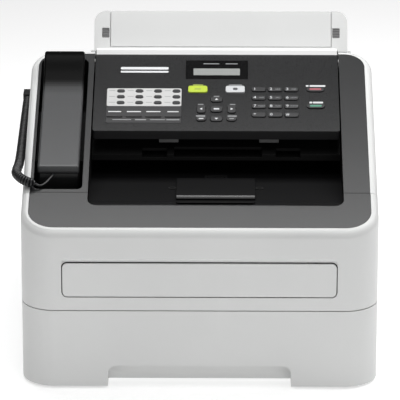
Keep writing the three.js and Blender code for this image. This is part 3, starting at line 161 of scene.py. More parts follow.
# %% Wind the helix along the route
step = PITCH / TURN_POINTS
axis_line = smooth_route(curl_route, step)
radius = (COIL - WIRE) / 2
plug_exit = [(-189.7, 124.2, 214.6), (-189.7, 122.8, 214.6)]
handset_entry = (-152.6, -84.5, 202.2)
EASE = 24  # points at each end over which the helix opens and closes
CLOSED = 0.12  # the helix's share of its radius where it starts
LEAD_SPACING = 1.2 * MM
cord_line = [Vector(p) * MM for p in plug_exit]
for i, (point, (u, v)) in enumerate(zip(axis_line, carried_frames(axis_line))):
    near_end = min(1.0, i / EASE, (len(axis_line) - 1 - i) / EASE)
    r = radius * (CLOSED + (1 - CLOSED) * near_end)
    a = 2 * math.pi * i / TURN_POINTS
    cord_line.append(point + (u * math.cos(a) + v * math.sin(a)) * r)
cord_line += smooth_route(lead_route, LEAD_SPACING)[1:]
cord_line.append(Vector(handset_entry) * MM)

# %% [markdown]
# ## Moulded plastic
#
# Nearly every visible piece is moulded ABS. Real mouldings are never one flat colour: the fine
# spark-eroded grain breaks up the highlight, and the shade drifts a little over a big panel. One
# function makes that finish from two noises, and each plastic asks it for its own colour, gloss
# and grain.

# %% A function for moulded plastic
def nodes_of(material):
    """A material's node tree and its shader."""
    material.use_nodes = True
    tree = material.node_tree
    shader = tree.nodes["Principled BSDF"]
    return tree, shader


def noise(tree, scale, detail=2.0, roughness=0.5):
    """A noise over the piece's own coordinates; the scale is in grains per metre."""
    place = tree.nodes.new("ShaderNodeTexCoord")
    pattern = tree.nodes.new("ShaderNodeTexNoise")
    pattern.inputs["Scale"].default_value = scale
    pattern.inputs["Detail"].default_value = detail
    pattern.inputs["Roughness"].default_value = roughness
    tree.links.new(place.outputs["Object"], pattern.inputs["Vector"])
    return pattern


def spread(tree, source, low, high):
    """Stretches the middle of a noise, where nearly all of it lies, over a range of values."""
    span = tree.nodes.new("ShaderNodeMapRange")
    span.inputs["From Min"].default_value = 0.3
    span.inputs["From Max"].default_value = 0.7
    span.inputs["To Min"].default_value = low
    span.inputs["To Max"].default_value = high
    tree.links.new(source, span.inputs["Value"])
    return span.outputs["Result"]


def two_tone(tree, factor, first, second):
    """Mixes two colours by a factor from 0 to 1."""
    mix = tree.nodes.new("ShaderNodeMix")
    mix.data_type = "RGBA"
    mix.inputs["A"].default_value = (*first, 1.0)
    mix.inputs["B"].default_value = (*second, 1.0)
    tree.links.new(factor, mix.inputs["Factor"])
    return mix.outputs["Result"]


DRIFT_SCALE = 9.0
GLOSS_UNEVENNESS = 0.05
GRAIN_DEPTH = 0.0002


def moulded(name, colour, roughness, grain=0.08, grain_size=0.0006, drift=0.05, specular=0.5):
    """A moulded plastic: a slow drift of shade, uneven gloss, and a fine grain."""
    material = bpy.data.materials.new(name)
    tree, shader = nodes_of(material)
    slow = noise(tree, DRIFT_SCALE)
    darker = tuple(c * (1 - drift) for c in colour)
    lighter = tuple(min(1.0, c * (1 + drift)) for c in colour)
    shade = spread(tree, slow.outputs["Fac"], 0.0, 1.0)
    tree.links.new(two_tone(tree, shade, darker, lighter), shader.inputs["Base Color"])
    fine = noise(tree, 1.0 / grain_size, detail=3.0, roughness=0.6)
    gloss = spread(tree, fine.outputs["Fac"], roughness - GLOSS_UNEVENNESS,
                   roughness + GLOSS_UNEVENNESS)
    tree.links.new(gloss, shader.inputs["Roughness"])
    bump = tree.nodes.new("ShaderNodeBump")
    bump.inputs["Strength"].default_value = grain
    bump.inputs["Distance"].default_value = GRAIN_DEPTH
    tree.links.new(fine.outputs["Fac"], bump.inputs["Height"])
    tree.links.new(bump.outputs["Normal"], shader.inputs["Normal"])
    shader.inputs["Specular IOR Level"].default_value = specular
    return material


print("a function for plastics; its drift has", DRIFT_SCALE, "waves in a metre")

# %% [markdown]
# ## The dark top's two shades
#
# The dark top is one moulding with deep hollows: the tray that catches the sheets and the bed of
# the handset. Those hollows wear a blacker, rougher material than the satin charcoal of the slope:
# partly the darker plastic of the tray, and partly painted shade of the recesses. A second piece
# laid in each hollow would do it, but a piece can also wear two materials: every face that reaches
# deeper than three millimetres under the slope gets the hollow's black and painted shade, and
# every other face the slope's charcoal.

# %% Where the slope lies
SLOPE_RISE = 0.316
SLOPE_ANGLE = math.atan(SLOPE_RISE)
SLOPE_AT_ZERO = 229.7 * MM
OUT = Vector((0.0, -math.sin(SLOPE_ANGLE), math.cos(SLOPE_ANGLE)))
UP_SLOPE = Vector((0.0, math.cos(SLOPE_ANGLE), math.sin(SLOPE_ANGLE)))


def slope_z(y):
    """The height of the sloped top at a distance y from the middle."""
    return SLOPE_AT_ZERO + SLOPE_RISE * y


HOLLOW_DEPTH = 3.0 * MM


def is_hollow(piece, face):
    """Whether a face reaches deep under the sloped surface."""
    surface = SLOPE_AT_ZERO * math.cos(SLOPE_ANGLE)
    deepest = min(piece.data.vertices[i].co.dot(OUT) for i in face.vertices)
    return deepest < surface - HOLLOW_DEPTH


print("the slope leans", round(math.degrees(SLOPE_ANGLE), 1), "degrees")

# %% The machine's plastics
white_casing = moulded("white casing", (0.66, 0.665, 0.66), 0.42, grain=0.10, drift=0.02)
dark_casing = moulded("dark casing", (0.018, 0.0183, 0.019), 0.32, grain=0.12)
# The hollows' near-black is partly the tray's own darker plastic and partly painted shade.
hollow_plastic_and_shade = moulded("hollow plastic and painted shade", (0.004, 0.004, 0.0043), 0.6, grain=0.16, specular=0.12)
panel_plastic = moulded("panel plastic", (0.006, 0.0062, 0.0068), 0.30, grain=0.10, specular=0.42)
# The panel's faces under its lip get a lighter copy of the panel plastic: painted light.
panel_lip_painted_light = moulded("panel lip lit copy", (0.026, 0.026, 0.027), 0.5, specular=0.3)
black_plastic = moulded("black plastic", (0.008, 0.008, 0.0085), 0.42, grain=0.10)
tray_black = moulded("tray black", (0.005, 0.005, 0.0053), 0.5, grain=0.16, grain_size=0.001,
                     specular=0.18)
# A blacker copy of the black plastic: painted shade of the housing deep in the cavity.
feeder_painted_shade = moulded("feeder shade black", (0.003, 0.003, 0.003), 0.6, specular=0.25)
HANDSET_GREY = (0.044, 0.045, 0.047)
handset_plastic = moulded("handset plastic", HANDSET_GREY, 0.36, grain=0.10)
key_plastic = moulded("key plastic", (0.012, 0.012, 0.013), 0.40, grain=0.05)
green_key = moulded("green key", (0.47, 0.60, 0.05), 0.28, grain=0.02, drift=0.02)
light_key = moulded("light key", (0.55, 0.56, 0.57), 0.28, grain=0.02, drift=0.02)
toner_grey = moulded("toner grey", (0.08, 0.08, 0.083), 0.45)
print("plastics", len(bpy.data.materials))

# %% [markdown]
# ## Rubber, steel, the cord's jacket and the display
#
# The rollers and feet are rubber: almost no highlight and a coarser grain. The plate in the paper
# tray is zinc-plated sheet, brushed from side to side. The jacket of the cord is soft PVC with a
# light sheen. The display window is a gloss sheet printed dark on its back.

# %% The other finishes
black_rubber = moulded("black rubber", (0.020, 0.020, 0.020), 0.80, grain=0.3, grain_size=0.0012)
cord_jacket = moulded("cord jacket", (0.013, 0.013, 0.014), 0.34, grain=0.04)
display_border = moulded("display border", (0.002, 0.002, 0.0022), 0.25, grain=0.0, drift=0.02,
                         specular=0.12)


STREAKS_PER_METRE = 1800.0
STREAK_DRAW = 0.03  # the streaks' scale along X, as a share of that across


def brushed_steel():
    """Zinc-plated sheet: a metal whose gloss is drawn out in streaks from side to side."""
    material = bpy.data.materials.new("sheet steel")
    tree, shader = nodes_of(material)
    shader.inputs["Metallic"].default_value = 1.0
    shader.inputs["Base Color"].default_value = (0.52, 0.53, 0.54, 1.0)
    streaks = noise(tree, STREAKS_PER_METRE)
    stretch = tree.nodes.new("ShaderNodeMapping")
    stretch.inputs["Scale"].default_value = (STREAK_DRAW, 1.0, 1.0)
    place = tree.nodes.new("ShaderNodeTexCoord")
    tree.links.new(place.outputs["Object"], stretch.inputs["Vector"])
    tree.links.new(stretch.outputs["Vector"], streaks.inputs["Vector"])
    tree.links.new(spread(tree, streaks.outputs["Fac"], 0.54, 0.60), shader.inputs["Roughness"])
    return material


sheet_steel = brushed_steel()
print("materials", len(bpy.data.materials))

# %% [markdown]
# ## Softening the engineering model
#
# The drawing's edges are perfectly sharp, and real mouldings never are. Each piece keeps its
# shape and gets modifiers: its flat triangles are merged back into whole faces, its edges get a
# small round, and the shading is weighted so that flat faces stay flat. The round's width is a
# matter of the piece: half a millimetre on a casing, less on a key.

# %% Rounding the edges of a CAD piece
SHARP_ANGLE = math.radians(28.0)  # edges that turn less than this stay as they are
FLAT_ANGLE = math.radians(0.6)  # triangles that turn less than this are one flat face
BEVEL_SEGMENTS = 2


def soften(node, material, width=0.5, hollow=None):
    """Gives a CAD piece its material and small rounded edges. Width is in millimetres."""
    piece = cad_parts[node]
    piece.data.materials.clear()
    piece.data.materials.append(material)
    if hollow:
        piece.data.materials.append(hollow)
    for face in piece.data.polygons:
        face.use_smooth = True
        face.material_index = 1 if hollow and is_hollow(piece, face) else 0
    weld = piece.modifiers.new("weld", "WELD")
    weld.merge_threshold = 1e-6
    merge = piece.modifiers.new("merge flats", "DECIMATE")
    merge.decimate_type = "DISSOLVE"
    merge.angle_limit = FLAT_ANGLE
    merge.delimit = {"MATERIAL"}
    rounding = piece.modifiers.new("round edges", "BEVEL")
    rounding.width = width * MM
    rounding.segments = BEVEL_SEGMENTS
    rounding.limit_method = "ANGLE"
    rounding.angle_limit = SHARP_ANGLE
    rounding.miter_outer = "MITER_ARC"
    shading = piece.modifiers.new("even shading", "WEIGHTED_NORMAL")
    shading.weight = 90
    shading.keep_sharp = True


# %% Finish the casing
for node in ("left_side_cover", "right_side_cover", "rear_cover", "front_cover"):
    soften(node, white_casing, 0.4)
for node in ("rear_door", "manual_feed_door", "paper_tray", "document_support"):
    soften(node, white_casing, 0.5)
soften("support_extension", white_casing, 0.4)
# The deep faces of the top and the trim get the hollows' painted shade.
for node in ("top_cover", "front_trim"):
    soften(node, dark_casing, 0.4, hollow=hollow_plastic_and_shade)
# The panel's deep faces under the lip wear a lighter copy of its plastic: painted light.
soften("control_panel", panel_plastic, 0.5, hollow=panel_lip_painted_light)
print("casing finished; the top cover has",
      len(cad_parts["top_cover"].data.polygons), "faces")

# %% Finish the working parts
for node in ("base_frame", "drum_unit", "fuser_unit", "hook_switch",
             "paper_guide_left", "paper_guide_right", "power_switch", "cord_plug"):
    soften(node, black_plastic, 0.3)
soften("output_flap", tray_black, 0.5)
# The upper housing's near-black is painted shade of the dark cavity it sits in.
soften("upper_housing", feeder_painted_shade, 0.3)
soften("toner_cartridge", toner_grey, 0.6)
soften("pressure_plate", sheet_steel, 0.2)
for node in ("pickup_roller", "exit_roller", "document_roller"):
    soften(node, black_rubber, 0.4)
for side in ("left", "right"):
    for end in ("front", "rear"):
        soften(f"foot_{end}_{side}", black_rubber, 0.5)
print("working parts finished, with 3 rollers and 4 feet")

# %% Finish the keys
key_nodes = [node for node in sorted(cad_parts) if node.startswith("key_")]
for node in key_nodes:
    finish = {"key_fax": green_key, "key_copy": light_key}.get(node, key_plastic)
    soften(node, finish, 0.35)
soften("one_touch_keymat", key_plastic, 0.25)
soften("lcd_window", display_border, 0.25)
print("keys", len(key_nodes))

# %% The cord's wire
def finished(name, mesh, material, smooth=True):
    """Turns a bmesh into an object of the scene."""
    data = bpy.data.meshes.new(name)
    mesh.to_mesh(data)
    mesh.free()
    for face in data.polygons:
        face.use_smooth = smooth
    data.materials.append(material)
    piece = bpy.data.objects.new(name, data)
    bpy.context.scene.collection.objects.link(piece)
    return piece


def swept_tube(name, line, radius, sides, material):
    """A mesh tube of a round section along a line, closed at both ends."""
    mesh = bmesh.new()
    rings = []
    for point, (u, v) in zip(line, carried_frames(line)):
        ring = []
        for k in range(sides):
            a = 2 * math.pi * k / sides
            ring.append(mesh.verts.new(point + (u * math.cos(a) + v * math.sin(a)) * radius))
        rings.append(ring)
    for first, second in zip(rings, rings[1:]):
        for k in range(sides):
            mesh.faces.new((first[k], first[(k + 1) % sides],
                            second[(k + 1) % sides], second[k]))
    mesh.faces.new(list(reversed(rings[0])))
    mesh.faces.new(rings[-1])
    bmesh.ops.recalc_face_normals(mesh, faces=mesh.faces)
    return finished(name, mesh, material)


WIRE_SIDES = 8
cord = swept_tube("curly_cord", cord_line, WIRE / 2, WIRE_SIDES, cord_jacket)
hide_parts("cord_curl", "cord_lead")
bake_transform(cord)
print("wire of", len(cord_line), "points")

# %% [markdown]
# ## The handset
#
# A handset is two mouldings: a grey back that the hand holds, and a black inner half with the
# earpiece and the mouthpiece. Seen from the side it has a clear outline, and across it is the same
# width all along, with well rounded edges. So it is built as a loft: the side outline is repeated
# across the width, and near each side it is drawn in by the amounts that make a quarter circle.
# Towards the ear the back's faces wear a row of materials, each a little darker and less shiny
# than the one before: painted shade of the ear end.

# %% A bar with a side outline and rounded edges
def drawn_in(outline, amount):
    """The same outline with every point moved inwards, square to the outline, by some amount."""
    moved = []
    for i, (y, z) in enumerate(outline):
        before, after = outline[i - 1], outline[(i + 1) % len(outline)]
        dy, dz = after[0] - before[0], after[1] - before[1]
        size = math.hypot(dy, dz)
        moved.append((y - dz / size * amount, z + dy / size * amount))
    return moved


ROUNDING_STEPS = 5


def rounded_bar(name, outline, middle, half, radius, material):
    """A bar along X from a side outline (anticlockwise, in mm) with rounded long edges."""
    stations = []
    for k in range(ROUNDING_STEPS + 1):
        turn = math.pi / 2 * k / ROUNDING_STEPS
        stations.append((half - radius * (1 - math.sin(turn)), radius * (1 - math.cos(turn))))
    stations = [(-x, d) for x, d in reversed(stations)] + stations
    mesh = bmesh.new()
    rings = []
    for x, amount in stations:
        section = drawn_in(outline, amount)
        rings.append([mesh.verts.new(Vector((middle + x, y, z)) * MM) for y, z in section])
    count = len(outline)
    for first, second in zip(rings, rings[1:]):
        for i in range(count):
            j = (i + 1) % count
            mesh.faces.new((first[i], first[j], second[j], second[i]))
    mesh.faces.new(list(reversed(rings[0])))
    mesh.faces.new(rings[-1])
    bmesh.ops.recalc_face_normals(mesh, faces=mesh.faces)
    bmesh.ops.triangulate(mesh, faces=[f for f in mesh.faces if len(f.verts) > 4])
    piece = finished(name, mesh, material)
    shading = piece.modifiers.new("even shading", "WEIGHTED_NORMAL")
    shading.keep_sharp = True
    return piece


CURVE_SPACING = 1.5


def curve_through(points):
    """More points on a smooth curve through the given ones, in mm."""
    line = smooth_route([(0.0, y, z) for y, z in points], CURVE_SPACING * MM)
    return [(p.y / MM, p.z / MM) for p in line]


print("long edges round off in", ROUNDING_STEPS, "steps")

# %% The grey back
SLOPE_MM = SLOPE_AT_ZERO / MM
low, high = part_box("handset_shell")
HANDSET_MIDDLE = (low[0] + high[0]) / 2 / MM
HANDSET_HALF = (high[0] - low[0]) / 2 / MM
PROUD = 8.0
BACK_ROUNDING = 2.4


def top_z(y):
    """Height in mm of the handset's back at a distance y from the middle."""
    return SLOPE_MM + SLOPE_RISE * y + PROUD


long_top = [(y, top_z(y)) for y in (-82.6, -79, -60, -40, -20, 0, 20, 38)]
front_end = [(-85.4, 202.6), (-85.9, 204.2), (-85.95, 207.6), (-85.6, 209.8), (-84.6, 210.9)]
ear_end = [(48, 253.2), (57, 257.4), (68, 264.6), (79, 273.6), (86, 277.6), (93, 278.6),
           (99.5, 276.2), (103.2, 270.0), (103.6, 262.0), (103.6, 250.6)]
split_line = [(103.0, 250.2), (70, 245.0), (44, 240.4), (0, 226.6), (-46, 212.0),
              (-70, 206.0), (-80, 202.9)]
shell_outline = curve_through(front_end + long_top + ear_end) + split_line
shell_outline.reverse()
shell = rounded_bar("handset_back", shell_outline, HANDSET_MIDDLE, HANDSET_HALF, BACK_ROUNDING,
                    handset_plastic)
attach(shell, "handset")
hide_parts("handset_shell")
print("handset back", len(shell.data.vertices), "points")

# %% Painted shade: the grey darkens into black at the ear end
EAR_SHADE_START, EAR_SHADE_STEP, EAR_SHADES = 35.0, 2.6, 10
EAR_SHADE_BLACK = 0.002
EAR_SHADE_SPECULAR = 0.03
# Each step is a darker, less shiny copy of the grey: painted shade of the ear end.
for k in range(EAR_SHADES):
    share = (k + 1) / EAR_SHADES
    share = share * share * (3 - 2 * share)
    grey = tuple(c * (1 - share) + EAR_SHADE_BLACK * share for c in HANDSET_GREY)
    shell.data.materials.append(moulded(f"handset painted shade {k + 1}", grey, 0.36, grain=0.10,
                                        specular=0.5 * (1 - share) + EAR_SHADE_SPECULAR * share))
for face in shell.data.polygons:
    along = (face.center.y / MM - EAR_SHADE_START) / EAR_SHADE_STEP
    face.material_index = max(0, min(EAR_SHADES, math.ceil(along)))
print("shades on the handset's back", len(shell.data.materials))

# %% The black inner half
mouth_end = [(-82.0, 202.4), (-82.4, 196), (-81.6, 186), (-79.4, 179.4), (-74.5, 176.4)]
mouth_plate = [(-58, 182.8), (-54, 186.4), (-51.0, 195.0), (-45.0, 204.0), (-36.0, 210.4)]
grip = [(0, 221.7), (36, 233.1)]
ear_cup = [(44.0, 234.4), (48.6, 231.2), (52.6, 227.9), (96, 234.8), (101.6, 238.2),
           (103.2, 246.0)]
SPLIT_GAP = 0.3
inner_split = [(y, z - SPLIT_GAP) for y, z in split_line]
inner_outline = mouth_end + mouth_plate + grip + ear_cup + inner_split
INNER_ROUNDING = 2.0
INNER_INSET = 0.4
inner = rounded_bar("handset_inner_half", inner_outline, HANDSET_MIDDLE,
                    HANDSET_HALF - INNER_INSET, INNER_ROUNDING, black_plastic)
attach(inner, "handset")
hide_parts("handset_inner")
print("inner half", len(inner.data.vertices), "points")

# %% [markdown]
# ## Flat pieces with holes
#
# The white card round the one-touch keys, the printed marks and the grilles are all thin plates
# with a flat outline, and some have holes. A 2D curve does that well: Blender fills the space
# between its outlines by itself, and a little extrusion gives it thickness. Each one is drawn
# flat, turned into a mesh, and laid where it belongs by one matrix.

# %% Outlines and plates
CORNER_STEPS = 5


def rounded_outline(x, w, wide, high, radius):
    """Points of a rounded rectangle about a middle, in mm."""
    radius = min(radius, wide / 2, high / 2)
    points = []
    for corner, (sx, sy) in enumerate(((1, 1), (-1, 1), (-1, -1), (1, -1))):
        cx, cy = x + sx * (wide / 2 - radius), w + sy * (high / 2 - radius)
        for k in range(CORNER_STEPS + 1):
            a = math.pi / 2 * (corner + k / CORNER_STEPS)
            points.append((cx + radius * math.cos(a), cy + radius * math.sin(a)))
    return points


def circle(x, w, radius, steps):
    turns = [2 * math.pi * k / steps for k in range(steps)]
    return [(x + radius * math.cos(a), w + radius * math.sin(a)) for a in turns]


def as_mesh_piece(name, source, place, material):
    """Turns a curve or text object into a mesh piece laid by a matrix."""
    bpy.context.scene.collection.objects.link(source)
    bpy.context.view_layer.update()
    evaluated = source.evaluated_get(bpy.context.evaluated_depsgraph_get())
    data = bpy.data.meshes.new_from_object(evaluated)
    bpy.data.objects.remove(source)
    mesh = bmesh.new()
    mesh.from_mesh(data)
    bpy.data.meshes.remove(data)
    bmesh.ops.remove_doubles(mesh, verts=mesh.verts, dist=1e-6)
    bmesh.ops.dissolve_degenerate(mesh, edges=mesh.edges, dist=1e-6)
    bmesh.ops.transform(mesh, matrix=place, verts=mesh.verts)
    bmesh.ops.recalc_face_normals(mesh, faces=mesh.faces)
    return finished(name, mesh, material, smooth=False)


def plate(name, outlines, low, high, place, material):
    """A thin plate between two heights; outlines inside another one are holes. Sizes in mm."""
    curve = bpy.data.curves.new(name, "CURVE")
    curve.dimensions, curve.fill_mode = "2D", "BOTH"
    curve.extrude = (high - low) / 2 * MM
    for outline in outlines:
        spline = curve.splines.new("POLY")
        spline.points.add(len(outline) - 1)
        for point, (x, w) in zip(spline.points, outline):
            point.co = (x * MM, w * MM, 0, 1)
        spline.use_cyclic_u = True
    lift = Matrix.Translation((0, 0, (low + high) / 2 * MM))
    return as_mesh_piece(name, bpy.data.objects.new(name, curve), place @ lift, material)


def laid(origin, w_direction):
    """A matrix for flat pieces: x stays, w runs along a direction, and up is square to both."""
    w = Vector(w_direction).normalized()
    up = Vector((1, 0, 0)).cross(w)
    matrix = Matrix((Vector((1, 0, 0)), w, up)).transposed().to_4x4()
    return Matrix.Translation(origin) @ matrix


PANEL_FRONT_Y = -14.0 * MM
on_panel = laid((0, PANEL_FRONT_Y, slope_z(PANEL_FRONT_Y)), UP_SLOPE)
print("the panel's measures start at", [round(x, 4) for x in on_panel.translation])

# %% [markdown]
# ## Printed marks
#
# The panel's words are left out. In their place stand plain bars of the same length, as a
# designer's dummy has them. The keys keep what every telephone has: digits, and small letters
# beside them. Ink is a matt paint with a hardly visible unevenness.

# %% Inks
def ink(name, colour, roughness=0.55):
    return moulded(name, colour, roughness, grain=0.02, drift=0.06)


pale_ink = ink("pale ink", (0.62, 0.63, 0.64))
dim_ink = ink("dim ink", (0.26, 0.265, 0.27))
red_ink = ink("red ink", (0.36, 0.09, 0.11))
green_ink = ink("green ink", (0.07, 0.26, 0.17))
lime_ink = ink("lime ink", (0.34, 0.42, 0.06))
dark_ink = ink("dark ink", (0.05, 0.05, 0.055))
card_paper = ink("card paper", (0.52, 0.52, 0.515), 0.7)
INK = 0.06  # thickness of print, in mm
print("inks ready; print is", INK, "mm thick")


def bars(name, rows, material, body, level=0.0):
    """Plain printed bars on the panel or a key. Each row is x, w, width, height in mm."""
    outlines = [rounded_outline(x, w, wide, high, high / 3) for x, w, wide, high in rows]
    piece = plate(name, outlines, level, level + INK, on_panel, material)
    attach(piece, body)
    return piece


def on_key(node):
    """The middle of a key's face in panel measures: x, w and height, in mm."""
    points = [on_panel.inverted() @ v.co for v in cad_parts[node].data.vertices]
    top = max(p.z for p in points)
    face = [p for p in points if p.z > top - 0.05 * MM]
    x = (min(p.x for p in face) + max(p.x for p in face)) / 2 / MM
    w = (min(p.y for p in face) + max(p.y for p in face)) / 2 / MM
    return x, w, top / MM


# %% Titles and labels on the panel
bars("title_bars", [(-61.4, 107.0, 51.5, 3.2), (-61.4, 113.4, 51.5, 4.6)], pale_ink,
     "control_panel")
bars("display_label", [(10.5, 121.6, 17, 1.3), (32.5, 121.6, 13, 1.3)], dim_ink,
     "control_panel", level=0.3)
bars("fax_label", [(-3.5, 82.8, 11, 1.8)], lime_ink, "control_panel")
bars("copy_label", [(36.6, 82.8, 14, 1.8)], dim_ink, "control_panel")
bars("stop_start_labels", [(113.6, 81.6, 3, 3), (124.6, 81.6, 17, 3), (117.0, 51.4, 3, 3),
                           (124.6, 51.4, 11, 3)], pale_ink, "control_panel")
bars("navigation_labels", [(16.4, 62.2, 6, 1.4), (-0.4, 47.6, 6, 1.4), (33.6, 47.6, 6, 1.4),
                           (-0.4, 26.6, 10, 2.2), (33.2, 26.6, 10, 2.2)], dim_ink, "control_panel")
bars("long_key_labels", [(-91.8, 34.0, 14, 1.7), (-71.4, 34.0, 15, 1.7), (-50.6, 34.0, 15, 1.7),
                         (-29.8, 34.0, 12, 1.7)], pale_ink, "control_panel", level=0.2)
bars("long_key_sublabels", [(-84.0, 19.6, 20, 1.2), (-64.0, 19.6, 12, 1.8), (-46.0, 19.6, 16, 1.2),
                            (-29.8, 19.6, 14, 1.7)], dim_ink, "control_panel", level=0.2)
print("label pieces on the panel: 8")

# %% The card round the one-touch keys
CARD = dict(x=-60.9, w=59.8, wide=79.6, high=32.0)
holes = []
marks = []
for column in range(4):
    for row in range(3):
        x = CARD["x"] - 25 + column * 19.8
        w = CARD["w"] + 11 - row * 10.6
        holes.append(rounded_outline(x, w, 8.8, 5.8, 2.9))
        marks.append((x - 9.4, w + 0.8, 6.4, 0.8))
card_edge = rounded_outline(CARD["x"], CARD["w"], CARD["wide"], CARD["high"], 2)
card = plate("one_touch_card", [card_edge] + holes, 0.2, 0.45, on_panel, card_paper)
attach(card, "control_panel")
bars("card_marks", marks, dim_ink, "control_panel", level=0.45)
print("card holes", len(holes))

# %% The display
screen_glass = moulded("display glass", (0.30, 0.31, 0.30), 0.16, grain=0.0, drift=0.03)
SCREEN_X, SCREEN_W = 16.4, 106.6
SCREEN_TOP = 0.42
screen = plate("display_screen", [rounded_outline(SCREEN_X, SCREEN_W, 50.0, 12.3, 0.8)], 0.3,
               SCREEN_TOP, on_panel, screen_glass)
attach(screen, "control_panel")
cells = [(SCREEN_X - 22.5 + 3.0 * column, SCREEN_W + 2.6 - 5.2 * row, 2.4, 3.6)
         for column in range(16) for row in range(2)]
cell_ink = ink("display cells", (0.25, 0.26, 0.25))
bars("display_cells", cells, cell_ink, "control_panel", level=SCREEN_TOP)
print("display cells", len(cells))

# %% Digits and letters on the keys
def printed(name, text, x, w, level, size, material, body):
    """Raised print from Blender's own plain font."""
    data = bpy.data.curves.new(name, "FONT")
    data.body = text
    data.size = size * MM
    data.extrude = INK / 2 * MM
    data.resolution_u = 2
    data.align_x, data.align_y = "CENTER", "CENTER"
    place = on_panel @ Matrix.Translation((x * MM, w * MM, (level + INK / 2) * MM))
    piece = as_mesh_piece(name, bpy.data.objects.new(name, data), place, material)
    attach(piece, body)
    return piece


KEYPAD = {"1": "", "2": "ABC", "3": "DEF", "4": "GHI", "5": "JKL", "6": "MNO", "7": "PQRS",
          "8": "TUV", "9": "WXYZ", "star": "", "0": "", "hash": ""}
GLYPH = {"star": "*", "hash": "#"}
for key, letters in KEYPAD.items():
    x, w, level = on_key("key_" + key)
    body = "key_" + key
    printed("digit_" + key, GLYPH.get(key, key), x - 4.2, w + 0.2, level, 6.2, pale_ink, body)
    if letters:
        printed("letters_" + key, letters, x + 2.9, w, level, 3.0, dim_ink, body)
print("printed keys", len(KEYPAD))

# %% Marks on the other keys
ARROW_SIZE = 2.8


def arrow(x, w, turn):
    """A triangle that points up, turned by quarter turns."""
    points = [(0.0, 0.6), (-0.7, -0.4), (0.7, -0.4)]
    c, s = math.cos(turn * math.pi / 2), math.sin(turn * math.pi / 2)
    return [(x + ARROW_SIZE * (c * a - s * b), w + ARROW_SIZE * (s * a + c * b))
            for a, b in points]


for turn, key in enumerate(("key_up", "key_left", "key_down", "key_right")):
    x, w, level = on_key(key)
    mark = plate("mark_" + key, [arrow(x, w, turn)], level, level + INK, on_panel, pale_ink)
    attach(mark, key)
for key, wide, high, material in (
        ("key_ok", 6, 2.4, pale_ink), ("key_clear", 5, 1.6, pale_ink),
        ("key_menu", 5, 1.6, dim_ink),
        ("key_stop", 12.5, 3.0, red_ink), ("key_start", 12.5, 3.0, green_ink),
        ("key_copy", 5, 4, dark_ink), ("key_fax", 7, 3, lime_ink)):
    x, w, level = on_key(key)
    bars("mark_" + key, [(x, w, wide, high)], material, key, level=level)
print("marks on 4 arrow keys and 7 others")

# %% [markdown]
# ## Trim of the control panel
#
# A light strip caps the raised ridge at the back of the panel, where the documents go in. Two
# grey tabs hang under its front lip and press the sheet down as it comes out. The panel is a lid,
# so it has a narrow gap on each side, and at the rear corners a black sheet in the gap paints its
# shade and stops light from showing through.

# %% The light strip and the tabs
def drawn_along_x(name, outline, x0, x1, place, material, bevel=0.0):
    """A bar along X from an outline of (w, up) points in mm, closed at both ends."""
    mesh = bmesh.new()
    ends = [[mesh.verts.new((x * MM, w * MM, n * MM)) for w, n in outline] for x in (x0, x1)]
    count = len(outline)
    for i in range(count):
        j = (i + 1) % count
        mesh.faces.new((ends[0][i], ends[0][j], ends[1][j], ends[1][i]))
    for end in ends:
        mesh.faces.new(end)
    bmesh.ops.triangulate(mesh, faces=[f for f in mesh.faces if len(f.verts) > 4])
    bmesh.ops.transform(mesh, matrix=place, verts=mesh.verts)
    bmesh.ops.recalc_face_normals(mesh, faces=mesh.faces)
    piece = finished(name, mesh, material, smooth=False)
    if bevel:
        rounding = piece.modifiers.new("round edges", "BEVEL")
        rounding.width = bevel * MM
        rounding.segments = 2
        rounding.limit_method = "ANGLE"
    return piece


low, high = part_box("control_panel")
PANEL_LEFT, PANEL_RIGHT = low[0] / MM, high[0] / MM
BACK = 134.0 / math.cos(SLOPE_ANGLE)
strip_white = moulded("strip white", (0.84, 0.84, 0.835), 0.35, grain=0.06, drift=0.02)
strip = [(-1.5, 0.05), (2.3, 3.45), (5.7, 3.45), (8.45, -0.4), (8.45, -6.8), (8.08, -6.8),
         (8.08, -0.5), (5.5, 3.08), (2.5, 3.08), (-0.9, 0.05)]
cap = drawn_along_x("panel_rear_strip", [(BACK + w, n) for w, n in strip], PANEL_LEFT + 0.2,
                    PANEL_RIGHT - 0.2, on_panel, strip_white)
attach(cap, "control_panel")
tab_grey = moulded("tab grey", (0.22, 0.22, 0.22), 0.4)
TAB_HALF = 10.4
tab_outline = [(2.2, -10.95), (5.0, -10.95), (5.8, -17.4), (3.0, -17.7)]
for name, x in (("sheet_tab_left", -34.0), ("sheet_tab_right", 72.2)):
    tab = drawn_along_x(name, tab_outline, x - TAB_HALF, x + TAB_HALF, on_panel, tab_grey,
                        bevel=0.6)
    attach(tab, "control_panel")
print("panel strip", round(PANEL_RIGHT - PANEL_LEFT, 1), "mm long")

# %% Black sheets in the gaps at the panel's two rear corners: painted shade
# Near-black for sheets that paint shade in gaps, a slot and holes.
painted_shade_black = moulded("painted shade black", (0.0015, 0.0015, 0.0015), 0.7, specular=0.15)
gap_sheet = [(BACK - 14, -12.0), (BACK + 8, -12.0), (BACK + 8, -1.2), (BACK - 14, -1.2)]
for name, x in (("panel_gap_shade_left", PANEL_LEFT - 0.5), ("panel_gap_shade_right", PANEL_RIGHT + 0.5)):
    dark = drawn_along_x(name, gap_sheet, x - 0.35, x + 0.35, on_panel, painted_shade_black)
    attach(dark, "base")
print("gap shades beside the panel at", round(PANEL_LEFT, 1), "and", round(PANEL_RIGHT, 1))
